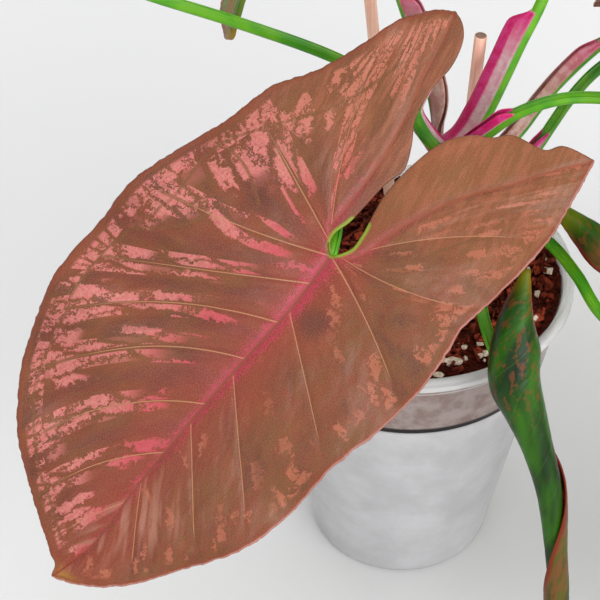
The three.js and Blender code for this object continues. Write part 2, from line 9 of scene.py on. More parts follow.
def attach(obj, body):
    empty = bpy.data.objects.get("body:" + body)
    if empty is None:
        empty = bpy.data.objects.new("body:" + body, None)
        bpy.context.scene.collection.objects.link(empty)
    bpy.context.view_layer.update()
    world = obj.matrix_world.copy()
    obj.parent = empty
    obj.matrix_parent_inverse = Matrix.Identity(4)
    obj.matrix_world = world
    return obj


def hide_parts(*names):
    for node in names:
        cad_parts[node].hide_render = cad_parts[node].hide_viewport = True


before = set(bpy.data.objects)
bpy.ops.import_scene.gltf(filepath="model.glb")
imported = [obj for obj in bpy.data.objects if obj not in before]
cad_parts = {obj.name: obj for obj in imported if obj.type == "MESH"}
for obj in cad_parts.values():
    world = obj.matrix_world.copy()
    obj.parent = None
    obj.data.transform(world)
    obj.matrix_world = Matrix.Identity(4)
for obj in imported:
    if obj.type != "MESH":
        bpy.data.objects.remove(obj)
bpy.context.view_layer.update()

# Lengths are in millimetres up to the making of a mesh
MM = 0.001
UP = np.array([0.0, 0.0, 1.0])

# Driving dimensions
COVER = {"foot": 34.7, "mouth": 51.7, "height": 96.0, "wall": 2.0}
NURSERY = {"foot": 31.4, "wall": 1.2, "lip": 60.0, "lip_top": 130.0, "lip_height": 5.0, "collar": 56.8}
GAP = 0.3
SOIL = {"edge": 126.0, "crown": 4.0, "lump": 1.1}
STEM = {"radius": 4.8, "top_radius": 3.8, "route": [[8, 2, 84], [8, 2, 130], [9, 1.5, 160], [8, 2, 184]],
        "rings": (0.5, 0.62, 0.73, 0.83, 0.91), "point": 0.12}
STAKE_RADIUS = 2.2
STAKES = {"stake_1": ([-3, 43, 99], [-20, 43, 262]), "stake_2": ([16, 30, 56], [23, 30, 211.5])}
BLADE_THICKNESS = 0.7
HALF_THICK = BLADE_THICKNESS / 2
LATHE_SIDES = 160

# Worked out from these
NECK = COVER["mouth"] - COVER["wall"] - 1.3
SHOULDER = COVER["height"] + GAP
COLLAR_FOOT = COVER["mouth"] + 0.2
LIP_FOOT = NURSERY["lip_top"] - NURSERY["lip_height"]
POT_FLOOR = 4.2
SOIL_INSET = NURSERY["wall"] + GAP
SOIL_EDGE = NURSERY["collar"] - NURSERY["wall"] - GAP - 0.2


# Lines and surfaces

def unit(vector):
    vector = np.asarray(vector, float)
    return vector / np.linalg.norm(vector, axis=-1, keepdims=True)


def smoothstep(value, low, high):
    share = np.clip((value - low) / (high - low), 0, 1)
    return share * share * (3 - 2 * share)


def bell(distance, width):
    """1 on a line, falling off about width away from it."""
    return np.exp(-(distance / width) ** 2)


def circle(sides):
    """The cosines and the sines of one full turn."""
    angles = np.linspace(0, 2 * np.pi, sides, endpoint=False)
    return np.cos(angles), np.sin(angles)


def catmull(knots, per_span):
    """A centripetal curve through the knots, with per_span samples from each knot to the next."""
    knots = np.asarray(knots, float)
    knots = np.concatenate([[2 * knots[0] - knots[1]], knots, [2 * knots[-1] - knots[-2]]])
    share = np.linspace(0, 1, per_span, endpoint=False)[:, None]
    spans = []
    for p0, p1, p2, p3 in zip(knots, knots[1:], knots[2:], knots[3:]):
        d0, d1, d2 = (np.linalg.norm(b - a) ** 0.5 for a, b in ((p0, p1), (p1, p2), (p2, p3)))
        t1 = ((p1 - p0) / d0 - (p2 - p0) / (d0 + d1) + (p2 - p1) / d1) * d1
        t2 = ((p2 - p1) / d1 - (p3 - p1) / (d1 + d2) + (p3 - p2) / d2) * d1
        spans.append(p1 + t1 * share + (3 * (p2 - p1) - 2 * t1 - t2) * share ** 2
                     + (2 * (p1 - p2) + t1 + t2) * share ** 3)
    return np.concatenate(spans + [knots[-2:-1]])


class Line:
    """A smooth line through its knots, read at a fraction of its length."""

    def __init__(self, *parts, per_span=24):
        traced = [catmull(part, per_span) for part in parts]
        self.points = np.concatenate([traced[0]] + [part[1:] for part in traced[1:]])
        steps = np.linalg.norm(np.diff(self.points, axis=0), axis=1)
        self.lengths = np.concatenate([[0], np.cumsum(steps)])
        self.total = self.lengths[-1]

    def at(self, fraction):
        target = np.clip(fraction, 0, 1) * self.total
        return np.stack([np.interp(target, self.lengths, column) for column in self.points.T], axis=-1)

    def tangent(self, fraction, reach=0.004):
        return unit(self.at(np.asarray(fraction) + reach) - self.at(np.asarray(fraction) - reach))

    def nearest(self, point):
        return self.lengths[np.argmin(np.linalg.norm(self.points - point, axis=1))] / self.total


def distance_to(points, line):
    """How far each flat point is from a line given as a row of points."""
    best = np.full(len(points), np.inf)
    for one, other in zip(line, line[1:]):
        span = other - one
        share = np.clip((points - one) @ span / max(span @ span, 1e-12), 0, 1)
        best = np.minimum(best, np.linalg.norm(points - one - share[:, None] * span, axis=1))
    return best


def distance_to_any(points, lines):
    return np.min([distance_to(points, line) for line in lines], axis=0)


def grain(points, size, seed=0.0, octaves=2):
    """Smooth noise from -1 to 1 whose features are about size across."""
    offset = Vector((seed * 13.7, seed * 5.3, seed * 9.1))
    scaled = np.asarray(points, float) / size
    if scaled.shape[1] == 2:
        scaled = np.column_stack([scaled, np.zeros(len(scaled))])
    return np.array([noise.fractal(Vector(p) + offset, 0.6, 2.0, octaves) for p in scaled])


def make_piece(name, points, faces, materials, kinds=None, fields=None, smooth=True):
    """A mesh object; kinds gives each face's material, and fields its vertex values."""
    mesh = bpy.data.meshes.new(name)
    mesh.from_pydata((np.asarray(points) * MM).tolist(), [], faces)
    for key, values in (fields or {}).items():
        layer = mesh.attributes.new(key, "FLOAT_VECTOR", "POINT")
        layer.data.foreach_set("vector", np.asarray(values, np.float32).ravel())
    for material in materials:
        mesh.materials.append(material)
    if kinds is not None:
        mesh.polygons.foreach_set("material_index", np.asarray(kinds, np.int32))
    mesh.polygons.foreach_set("use_smooth", np.full(len(mesh.polygons), smooth))
    mesh.validate()
    mesh.update()
    obj = bpy.data.objects.new(name, mesh)
    bpy.context.scene.collection.objects.link(obj)
    return obj


def dress(obj, node):
    """The piece rides on the part's one body and stands for a CAD node, whose own mesh it hides."""
    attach(obj, "root")
    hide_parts(node)
    return obj


def capped_loft(rings):
    """Points and faces of a skin through closed rings, with a fan over either end."""
    rings = np.asarray(rings)
    number, count = rings.shape[:2]
    points = np.concatenate([rings.reshape(-1, 3), [rings[0].mean(0), rings[-1].mean(0)]])
    row, place = np.meshgrid(np.arange(number - 1) * count, np.arange(count), indexing="ij")
    one, other = (row + place).ravel(), (row + (place + 1) % count).ravel()
    faces = np.column_stack([one, other, other + count, one + count]).tolist()
    last = (number - 1) * count
    for j in range(count):
        k = (j + 1) % count
        faces.append([number * count, k, j])
        faces.append([number * count + 1, last + j, last + k])
    return points, faces


def with_caps(table):
    """A loft's rows of vertex values, with one more for the middle of either end."""
    return np.concatenate(table + [table[0][:1], table[-1][:1]])


def lathe(profile, sides=LATHE_SIDES):
    """Points and faces of a profile turned round the Z axis; it starts and ends level on the axis."""
    across, along = circle(sides)
    rings = [np.column_stack([across * r, along * r, np.full(sides, z)]) for r, z in profile[1:-1]]
    return capped_loft(rings)


def rounded(profile, radius, steps=5):
    """A profile with its inner corners rounded to about the radius given."""
    profile = np.asarray(profile, float)
    out = [profile[0]]
    for before, corner, after in zip(profile, profile[1:], profile[2:]):
        reach = min(radius, *(np.linalg.norm(side - corner) * 0.48 for side in (before, after)))
        start = corner + unit(before - corner) * reach
        end = corner + unit(after - corner) * reach
        for t in np.linspace(0, 1, steps):
            out.append((1 - t) ** 2 * start + 2 * t * (1 - t) * corner + t * t * end)
    out.append(profile[-1])
    return out


# Materials

def srgb(red, green, blue):
    """A colour from its screen values of 0 to 255, as a shader takes it."""
    values = [c / 255 for c in (red, green, blue)]
    return tuple(c / 12.92 if c <= 0.04045 else ((c + 0.055) / 1.055) ** 2.4 for c in values) + (1.0,)


# What plant tissue gains by its sheen, how much the set's light brightens it, and the darkest it gets
SHEEN = 0.06
DAYLIGHT = 1.42
DARKEST = 0.004

# Screen colours that the parts of the plant show
HUES = {
    "brown": (146, 96, 68), "olive": (136, 102, 60), "hollow": (120, 74, 54), "shade": (104, 68, 48),
    "light": (164, 110, 84), "moss": (132, 106, 60), "lobe": (160, 118, 90), "tipward": (140, 104, 48),
    # The pale streaks on the pleats near the tip are painted sheen, standing in for gloss highlights
    "flush": (168, 80, 84), "bruise": (98, 52, 56), "painted_pleat_sheen": (206, 158, 142), "combed": (184, 124, 104),
    "tip": (204, 166, 88), "pale pink": (224, 160, 146), "pink": (224, 124, 132),
    "deep pink": (212, 86, 108), "lobe pink": (204, 136, 112), "tan": (196, 138, 112),
    "orange": (204, 120, 108), "net": (132, 104, 52), "magenta": (208, 44, 114), "vein": (206, 156, 122),
    "midrib": (150, 96, 66), "lobe vein": (170, 104, 84), "margin": (150, 96, 64),
    "right margin": (226, 168, 160), "notch": (150, 178, 70), "dark speck": (88, 42, 38),
    "pale speck": (226, 160, 132),
    "under green": (120, 156, 70), "under brown": (176, 140, 96), "under vein": (170, 186, 130),
    "under rib": (150, 182, 96), "under tip": (210, 172, 92),
    "deep green": (52, 92, 12), "roll green": (98, 134, 34), "roll vein": (112, 148, 56),
    "ring": (150, 104, 90), "blot": (142, 112, 92), "roll margin": (150, 84, 60), "seam": (150, 160, 60),
    "inner olive": (104, 98, 58), "inner pink": (212, 136, 126), "inner margin": (190, 62, 78),
    "stalk green": (106, 176, 34), "fresh green": (134, 196, 62), "rosy": (252, 192, 208),
    "pale rosy": (254, 224, 224), "dusty": (218, 164, 154), "pale dusty": (234, 196, 184),
    "hot pink": (238, 52, 136), "bright pink": (246, 100, 162), "lime": (170, 186, 84),
}


def hue(given):
    """A shader's colour, from three screen values or from the name of a hue that the plant shows."""
    if isinstance(given, str):
        seen = srgb(*HUES[given])[:3]
        return tuple(max(DARKEST, c / DAYLIGHT - SHEEN) for c in seen) + (1.0,)
    return srgb(*given)


def operator(operation, swapped=False):
    """A field's method for one sign of a formula."""
    def apply(one, other):
        values = (other, one) if swapped else (one, other)
        return one.graph.math(operation, *values)
    return apply


class Field:
    """A varying value in a material, written as a formula."""

    def __init__(self, graph, socket):
        self.graph = graph
        self.socket = socket

    __add__ = __radd__ = operator("ADD")
    __mul__ = __rmul__ = operator("MULTIPLY")
    __sub__ = operator("SUBTRACT")
    __rsub__ = operator("SUBTRACT", swapped=True)
    __truediv__ = operator("DIVIDE")


class Graph:
    """A material whose fields are built from nodes and end in one Principled shader."""

    def __init__(self, name):
        self.material = bpy.data.materials.new(name)
        self.material.use_nodes = True
        self.tree = self.material.node_tree
        self.tree.nodes.clear()

    def make(self, kind, inputs, output=0, **settings):
        """One output of a new node whose inputs are values or fields."""
        node = self.tree.nodes.new("ShaderNode" + kind)
        for key, value in settings.items():
            setattr(node, key, value)
        for key, value in inputs.items():
            if isinstance(value, Field):
                self.tree.links.new(value.socket, node.inputs[key])
            else:
                node.inputs[key].default_value = value
        return Field(self, node.outputs[output])

    def math(self, operation, *values):
        return self.make("Math", dict(enumerate(values)), operation=operation)

    def step(self, value, low, high):
        """0 below low, 1 above high, smooth between them."""
        inputs = {"Value": value, "From Min": low, "From Max": high}
        return self.make("MapRange", inputs, "Result", interpolation_type="SMOOTHSTEP")

    def below(self, value, low, high):
        """1 below low, 0 above high, smooth between them."""
        return 1 - self.step(value, low, high)

    def band(self, value, low, high, soft):
        """1 from low to high, 0 outside."""
        return self.step(value, low - soft, low + soft) * self.below(value, high - soft, high + soft)

    def blend(self, share, one, other):
        """one where share is 0, other where it is 1."""
        return (1 - share) * one + share * other

    def split(self, vector):
        """The three values of a vector."""
        first = self.make("SeparateXYZ", {0: vector})
        return [Field(self, output) for output in first.socket.node.outputs]

    def combine(self, *values):
        return self.make("CombineXYZ", dict(enumerate(values)))

    def attribute(self, name):
        """The three values of a piece's vertex field."""
        return self.split(self.make("Attribute", {}, "Vector", attribute_name=name))

    def object_coords(self):
        return self.make("TexCoord", {}, "Object")

    def noise(self, coords, scale=1.0, detail=2.0, roughness=0.5):
        inputs = {"Vector": coords, "Scale": scale, "Detail": detail, "Roughness": roughness}
        return self.make("TexNoise", inputs, "Fac")

    def cells(self, coords):
        """Scattered cells about 1 across: how far it is to the cell's border, and the cell's own chance."""
        inputs = {"Vector": coords, "Scale": 1.0}
        flat = {"voronoi_dimensions": "2D"}
        border = self.make("TexVoronoi", inputs, "Distance", feature="DISTANCE_TO_EDGE", **flat)
        colour = self.make("TexVoronoi", inputs, "Color", feature="F1", **flat)
        return border, self.split(colour)[0]

    def mix(self, share, one, other):
        return self.make("Mix", {0: share, 6: one, 7: other}, 2, data_type="RGBA")

    def fade(self, value, low, high, one, other):
        """A hue that turns from one, where the value is below low, to the other, where it is above high."""
        return self.mix(self.step(value, low, high), hue(one), hue(other))

    def paint(self, colour, *coats):
        """A colour under coats, each given as its share and its hue."""
        for share, coat in coats:
            colour = self.mix(share, colour, hue(coat))
        return colour

    def bump(self, height, strength, distance):
        return self.make("Bump", {"Height": height, "Strength": strength, "Distance": distance})

    def finish(self, colour, roughness, normal=None, **more):
        """The finished material; more gives further inputs of the shader, with _ for a space."""
        inputs = {"Base Color": colour, "Roughness": roughness}
        inputs.update({key.replace("_", " "): value for key, value in more.items()})
        if normal is not None:
            inputs["Normal"] = normal
        shader = self.make("BsdfPrincipled", inputs)
        output = self.tree.nodes.new("ShaderNodeOutputMaterial")
        self.tree.links.new(shader.socket, output.inputs["Surface"])
        return self.material


def mosaic_fields(g):
    """The values that the layers of the upper side share."""
    f = SimpleNamespace()
    f.u, f.v, f.side = g.attribute("plan")
    f.lane, f.span, f.w = g.attribute("row")
    f.rib, f.lobe, f.edge = g.attribute("bands")
    f.branch, f.reach, f.notch = g.attribute("veins")
    f.left = g.below(f.side, -0.02, 0.02)
    f.right = 1 - f.left
    f.plan = g.combine(f.u, f.v, f.side * 40)
    f.near = g.math("PINGPONG", f.lane, 0.5)
    f.from_lateral = f.near * f.span
    f.grit = g.noise(f.plan, 2.6, 2, 0.7)
    f.fleck = g.noise(f.plan, 1.3, 3, 0.75)
    f.mottle = g.noise(f.plan, 0.4, 3, 0.7)
    f.outward = g.step(f.w, 0.2, 0.55)
    f.lobes = g.step(f.u * -1, 5, 45)
    f.tipward = g.step(f.u, 78, 112) * g.step(f.v, -6, 2) * g.below(f.w, 0.55, 0.9)
    return f


# The patches' cells: how many lie from one lateral to the next, their length, and how far noise warps them
LARGE = {"across": 4.2, "length": 16, "warp": 1.0, "apart": 20}
SMALL = {"across": 7.6, "length": 7, "warp": 1.6, "apart": 9}


def mosaic_cells(g, f, form):
    """Cells drawn out along the laterals; the two halves of the blade take them from different places."""
    warp = ((f.mottle - 0.5) * 1.5 + (f.fleck - 0.5) * 0.35) * form["warp"]
    return g.cells(g.combine(f.lane * form["across"] + warp + f.side * form["apart"],
                             f.reach / form["length"] + warp))


def mosaic_spots(g, f):
    """Where patches lie: dense beside the laterals and inside the collective vein, small on rim and lobes."""
    large, large_chance = mosaic_cells(g, f, LARGE)
    small, small_chance = mosaic_cells(g, f, SMALL)
    fine = g.math("MAXIMUM", g.math("MAXIMUM", g.below(f.edge, 6.5, 9), f.right), g.step(f.lobes, 0.3, 0.5))
    fine = g.step(fine, 0.45, 0.55)
    f.border = g.blend(fine, large, small)
    chance = g.blend(fine, large_chance, small_chance)
    beside = g.band(f.from_lateral, 0.5, 5.5, 0.8)
    dense_left = (0.04 + beside * g.step(f.w, 0.08, 0.3) * 0.42 + f.outward * beside * 0.3
                  + f.outward * g.below(f.edge, 11, 24) * 0.5)
    dense_right = 0.03 + g.band(f.edge, 2.5, 11, 2.5) * 0.24 + beside * 0.03 + f.lobes * 0.12
    dense = g.blend(f.left, dense_right, dense_left)
    dense = dense * (1 - g.step(f.u, 95, 128) * f.left * 0.5) * g.step(f.w, 0.01, 0.04)
    spots = g.step(dense - chance, -0.12, 0.08) * g.step(f.border + (f.fleck - 0.5) * 0.34, 0.07, 0.17)
    return spots * g.step(f.edge, 2.2, 3.6) * (0.72 + 0.28 * g.step(f.mottle, 0.35, 0.5))


def mosaic_ground(g, f):
    """The red-brown between the patches, with shades along the laterals, painted sheen as pale streaks on the
    pleats toward the tip, and combed lobes.
    """
    blotch = g.noise(f.plan, 0.05, 3, 0.6)
    shade = g.noise(g.combine(f.lane * 2.2, f.reach * 0.045, f.side * 17), 1.0, 3, 0.65)
    # This noise follows the pleats near the tip and places the painted sheen streaks
    painted_pleat_sheen = g.noise(g.combine(f.lane * 4.3, f.reach * 0.03, f.side * 7), 1.0, 2, 0.6)
    combed = g.noise(g.combine(f.u * 0.06 + f.v * 0.04, f.v * 0.4 - f.u * 0.1, f.side), 1.0, 3, 0.65)
    bruise = g.math("SQRT", (f.u - 21) * (f.u - 21) + (f.v - 10) * (f.v - 10))
    return g.paint(
        g.fade(blotch, 0.38, 0.62, "brown", "olive"),
        (f.left * g.step(f.near, 0.2, 0.5) * 0.5, "hollow"),
        (g.step(shade, 0.46, 0.7) * 0.7, "shade"),
        (g.step(1 - shade, 0.52, 0.74) * 0.45, "light"),
        (f.right * g.step(f.mottle, 0.3, 0.7) * 0.5, "moss"),
        (f.lobes * 0.35, "lobe"),
        (g.step(f.u, 112, 142) * 0.6, "tipward"),
        (g.below(f.rib, 3, 24) * 0.45, "flush"),
        (g.below(bruise, 1.5, 8) * 0.6, "bruise"),
        # Painted sheen: pale pink streaks along the pleats near the tip stand in for gloss highlights
        (f.tipward * g.step(painted_pleat_sheen, 0.48, 0.62) * 0.5, "painted_pleat_sheen"),
        (f.lobes * g.step(combed, 0.44, 0.62) * 0.5, "combed"),
        (g.step(f.u, 137, 143) * 0.7, "tip"))


def mosaic_patches(g, f):
    """The patches' hues: pink on the left half, orange on the right."""
    pink = g.paint(g.fade(f.fleck, 0.4, 0.6, "pale pink", "pink"),
                   ((1 - f.outward) * 0.7, "deep pink"), (f.lobes * 0.7, "lobe pink"))
    return g.mix(f.left, g.fade(f.fleck, 0.4, 0.6, "tan", "orange"), pink)


def mosaic_net(g, f):
    """The olive net: the laterals' ends, the finer veins, and the thin lines between patches."""
    ends = g.below(f.from_lateral, 0.35, 0.9) * g.step(f.w, 0.55, 0.75) * f.left * g.step(f.edge, 7, 9)
    between = g.below(f.border, 0.02, 0.07) * f.outward * f.left * 0.45
    return g.math("MAXIMUM", g.math("MAXIMUM", ends, g.below(f.branch, 0.3, 0.8)), between)


def mosaic_glow(g, f):
    """Magenta along the ribs, breaking up into flecks outward."""
    toward_tip = g.step(f.u, -10, 150)
    beside_rib = f.rib / (9 - toward_tip * 6)
    beside_lobe = f.lobe / (5 - g.step(f.u * -1, 0, 80) * 3)
    glow = g.math("MAXIMUM", g.below(beside_rib, 0.05, 1.0) * (1 - toward_tip * 0.35),
                  g.below(beside_lobe, 0.1, 1.0) * (0.75 - f.lobes * 0.3))
    sprayed = g.step(glow + (f.fleck - 0.5) * 3.4 + (f.mottle - 0.5) * 1.6, 0.4, 1.15)
    return sprayed * (0.3 + glow * 0.55)


def mosaic_lateral(g, f):
    """The laterals' own thin lines, which fade before they reach the margin."""
    thin = 0.29 - f.w * 0.13
    fading = g.blend(f.left, g.below(f.w, 0.7, 0.86), 1 - g.step(f.w, 0.55, 0.8) * 0.8)
    return g.below(f.from_lateral / thin, 0.5, 1.2) * fading * g.step(f.edge, 6.5, 8.5)


def mosaic_material():
    """The blade's upper side: red-brown, with pink patches along the laterals and magenta along the ribs."""
    g = Graph("mosaic_leaf")
    f = mosaic_fields(g)
    spots = mosaic_spots(g, f)
    colour = g.paint(
        g.mix(spots * (0.95 - f.right * 0.2), mosaic_ground(g, f), mosaic_patches(g, f)),
        (mosaic_net(g, f) * 0.75, "net"),
        (mosaic_glow(g, f), "magenta"),
        (mosaic_lateral(g, f) * 0.8, "vein"),
        (g.below(f.rib, 0.2, 0.65) * 0.9, "midrib"),
        (g.below(f.lobe, 0.15, 0.5) * 0.5, "lobe vein"),
        (g.below(f.edge, 0.9, 1.9) * 0.7, "margin"),
        (f.right * g.below(f.edge, 0.15, 0.5) * 0.55, "right margin"),
        (g.below(f.notch, 0.2, 1.3), "notch"))
    colour = g.mix(0.2, colour, g.fade(f.grit, 0.3, 0.7, "dark speck", "pale speck"))
    relief = g.bump(f.grit * 0.5 + g.noise(f.plan, 0.9, 2, 0.6), 0.25, 0.0004)
    return g.finish(colour, 0.38 - f.tipward * 0.12, relief, Specular_IOR_Level=0.3)


def underside_material():
    """The blade's lower side: pale green, with its laterals and rib paler still."""
    g = Graph("leaf_underside")
    u, v, side = g.attribute("plan")
    lane, span, _ = g.attribute("row")
    rib = g.attribute("bands")[0]
    from_lateral = g.math("PINGPONG", lane, 0.5) * span
    colour = g.paint(
        g.fade(g.noise(g.combine(u, v, side), 0.08, 3), 0.35, 0.65, "under green", "under brown"),
        (g.below(from_lateral, 0.3, 1.1) * 0.6, "under vein"),
        (g.below(rib, 0.8, 2.2) * 0.8, "under rib"),
        (g.step(u, 130, 141) * 0.8, "under tip"))
    return g.finish(colour, 0.55)


def furled_material():
    """A furled blade's outside: deep green, ringed with brown-pink above and mottled with it lower down."""
    g = Graph("furled_leaf")
    along, around, edge = g.attribute("roll")
    mottled, ringed, seam = g.attribute("zone")
    plan = g.combine(along, around)
    slant = along * 0.06 + around * 0.07 + g.noise(plan, 0.05, 1) * 0.4
    cloud = g.noise(g.combine(along * 0.035, around * 0.1), 1.0, 2, 0.5)
    rings = g.step(g.noise(g.combine(along * 0.3, around * 0.42, 4.0), 1.0, 3, 0.6), 0.52, 0.62)
    blots = g.step(g.noise(g.combine(along * 0.12, around * 0.4, 9.0), 1.0, 4, 0.7), 0.44, 0.54)
    colour = g.paint(
        g.fade(cloud, 0.3, 0.7, "deep green", "roll green"),
        (g.below(g.math("PINGPONG", slant, 0.5), 0.01, 0.03) * 0.2, "roll vein"),
        (rings * (0.04 + ringed * 0.5), "ring"),
        (mottled * (0.45 + blots * 0.5), "blot"),
        (g.below(edge, 0.8, 2.2) * 0.75, "roll margin"),
        (seam * 0.6, "seam"))
    return g.finish(colour, 0.32, g.bump(g.noise(plan, 0.35, 3), 0.3, 0.0008), Specular_IOR_Level=0.15)


def furled_inside_material():
    """A furled blade's inside, which is its upper side."""
    g = Graph("furled_inside")
    along, around, edge = g.attribute("roll")
    spots = g.noise(g.combine(along * 0.12, around * 0.3, 2.0), 1.0, 4, 0.7)
    colour = g.paint(g.fade(spots, 0.46, 0.54, "inner olive", "inner pink"),
                     (g.below(edge, 0.5, 1.3), "inner margin"))
    return g.finish(colour, 0.4)


def stalk_material():
    """Bright green stalk, with the sheath's wings pink and their edges magenta."""
    g = Graph("stalk")
    share, wing, rise = g.attribute("stalk")
    start, flush, kind = g.attribute("tint")
    coords = g.object_coords()
    streak = g.noise(coords, 90, 2)
    ruddy = g.noise(coords, 240, 4, 0.7), 0.42, 0.58
    dusty = g.step(kind, 0.5, 0.6) * g.below(kind, 1.4, 1.6)
    rimmed = g.step(kind, 1.4, 1.6)
    tall = g.step(wing, 0.4, 1.2)
    pinked = g.step(rise, start, start + 0.2)
    pale = g.mix(dusty, g.fade(*ruddy, "rosy", "pale rosy"), g.fade(*ruddy, "dusty", "pale dusty"))
    colour = g.mix(pinked * tall, g.fade(streak, 0.35, 0.68, "stalk green", "fresh green"), pale)
    ending = g.step(share, 0.62, 0.95) * (1 - dusty * 0.35) * pinked
    flushed = g.math("MAXIMUM", g.step(rise, flush, flush + 0.2), ending)
    colour = g.mix(flushed * tall, colour, g.fade(*ruddy, "hot pink", "bright pink"))
    colour = g.paint(colour, (rimmed * g.step(rise, 0.86, 0.94) * tall * 0.8, "lime"))
    return g.finish(colour, 0.4, Specular_IOR_Level=0.4)


def stem_material():
    """Rough green, paler at the top."""
    g = Graph("stem")
    coords = g.object_coords()
    height = g.split(coords)[2]
    colour = g.paint(g.fade(g.noise(coords, 120, 4), 0.35, 0.65, (84, 134, 40), (124, 158, 66)),
                     (g.step(height, 0.176, 0.184) * 0.6, (172, 190, 96)))
    return g.finish(colour, 0.5)


def stake_material():
    """Bare wood with its grain along the stake."""
    g = Graph("stake_wood")
    x, y, z = g.split(g.object_coords())
    lines = g.noise(g.combine(x * 900, y * 900, z * 40), 1.0, 4, 0.65)
    colour = g.fade(lines, 0.3, 0.7, (240, 180, 158), (252, 214, 194))
    return g.finish(colour, 0.75, g.bump(lines, 0.25, 0.0004))


def cut_material():
    """The stakes' weathered cut ends."""
    g = Graph("cut_wood")
    return g.finish(g.mix(g.noise(g.object_coords(), 900, 3), hue((110, 84, 72)), hue((168, 132, 116))), 0.85)


def cover_material():
    """Matte light grey, finely mottled."""
    g = Graph("cover_pot")
    coords = g.object_coords()
    fine = g.noise(coords, 420, 3, 0.6)
    colour = g.paint(g.fade(g.noise(coords, 45, 5, 0.65), 0.3, 0.7, (164, 163, 165), (180, 179, 181)),
                     (g.step(fine, 0.62, 0.8) * 0.25, (142, 142, 144)))
    return g.finish(colour, 0.62, g.bump(fine, 0.12, 0.0004))


def nursery_material():
    """Clear, milky plastic: two light rings on the mottled collar, a dark opaque band of painted shadow at
    the collar's foot for the gap at the cover pot's rim, and a pale lip.
    """
    g = Graph("nursery_pot")
    coords = g.object_coords()
    height = g.split(coords)[2] / MM
    rings = g.math("MAXIMUM", *(g.band(height, LIP_FOOT - low, LIP_FOOT - high, 0.2)
                                for low, high in ((2.6, 2), (5, 4.4))))
    # Painted shadow: the dark band at the collar's foot stands in for the shade in the gap above the cover
    # pot's rim
    foot = g.below(height, SHOULDER + 2.6, SHOULDER + 4.2)
    colour = g.paint(
        g.fade(g.noise(coords, 130, 4, 0.65), 0.35, 0.65, (164, 140, 134), (192, 176, 171)),
        (rings * 0.6, (246, 244, 244)),
        (foot, (26, 20, 20)),
        (g.step(height, LIP_FOOT - 1, LIP_FOOT + 0.5), (246, 247, 247)))
    # The painted shadow band lets no light through
    clear = (0.5 + g.step(height, LIP_FOOT - 0.5, LIP_FOOT + 1) * 0.14) * (1 - foot)
    return g.finish(colour, 0.24, Transmission_Weight=clear, IOR=1.2)


def soil_material():
    """The bed's dark grit."""
    g = Graph("soil_bed")
    grit = g.noise(g.object_coords(), 700, 4, 0.7)
    colour = g.fade(grit, 0.35, 0.7, (34, 8, 4), (104, 36, 20))
    return g.finish(colour, 0.9, g.bump(grit, 0.8, 0.001), Specular_IOR_Level=0.1)


def bark_material():
    """Red-brown bark, each crumb in its own shade."""
    g = Graph("bark")
    coords = g.object_coords()
    colour = g.fade(g.noise(coords, 160, 2), 0.35, 0.68, (60, 14, 7), (150, 60, 38))
    return g.finish(colour, 0.85, g.bump(g.noise(coords, 900, 3), 0.5, 0.0006), Specular_IOR_Level=0.15)


def pumice_material():
    """Cream pumice."""
    g = Graph("pumice")
    grit = g.noise(g.object_coords(), 900, 3)
    colour = g.fade(grit, 0.35, 0.65, (190, 168, 148), (232, 214, 196))
    return g.finish(colour, 0.9, g.bump(grit, 0.5, 0.0006))


def floor_material():
    """Plain pale grey."""
    return Graph("floor").finish(hue((209, 209, 210)), 0.7)


# The flat blade

# The arrowhead blade, flat: u runs from the stalk's joint to the tip, v to the blade's right
PLAN_LENGTH = 233
MARGIN_REACH = 40
MIDRIB_LENGTH = 145
ROW_SHARE = 0.42
BLADE_MIDDLE = [20, 0.1]
MIDRIB = [[145, -1], [128, 2.5], [100, 1], [55, 0.5], [20, 1.2], [0, 0]]
PLAN_LEFT = {
    "lobe_vein": [[0, 0], [-6.5, -6.2], [-14, -6.8], [-32, -8], [-51, -11.5], [-64, -15.4], [-75, -18],
                  [-88.6, -21.5]],
    "outer": [[145, -1], [140.5, -2.6], [137, -7.7], [127.7, -22.4], [116.6, -36.3], [103.6, -47.5],
              [90.7, -57.1], [69.3, -63.9], [55.3, -65.7], [43.3, -65.7], [25.1, -65.8], [7.5, -61.5],
              [-10.7, -55.5], [-30.2, -50.6], [-44.4, -43.1], [-59.4, -37.8], [-73.6, -33.3], [-84.3, -27],
              [-88.6, -21.5]],
    "inner": [[0, 0], [-2, -2.6], [-6, -4.2], [-12.8, -2.8], [-30.2, -2], [-37, -0.5], [-45, -3.9],
              [-51.9, -8.5], [-64.2, -11.1], [-73.7, -10.9], [-83, -13.7], [-86.7, -17.1], [-88.6, -21.5]],
    "laterals": [([108, 1], [136, -9], 0.05), ([86, 1], [127, -23], 0.08), ([64, 0.6], [116, -38], 0.1),
                 ([44, 0.7], [99, -52], 0.1), ([28.5, 0.9], [78, -61], 0.07), ([11, 1], [55, -66], 0),
                 ([0, 0], [22, -65], -0.03), ([-3.5, -3.6], [-21, -52.5], 0),
                 ([-8, -6.6], [-70, -34.8], -0.05)],
}
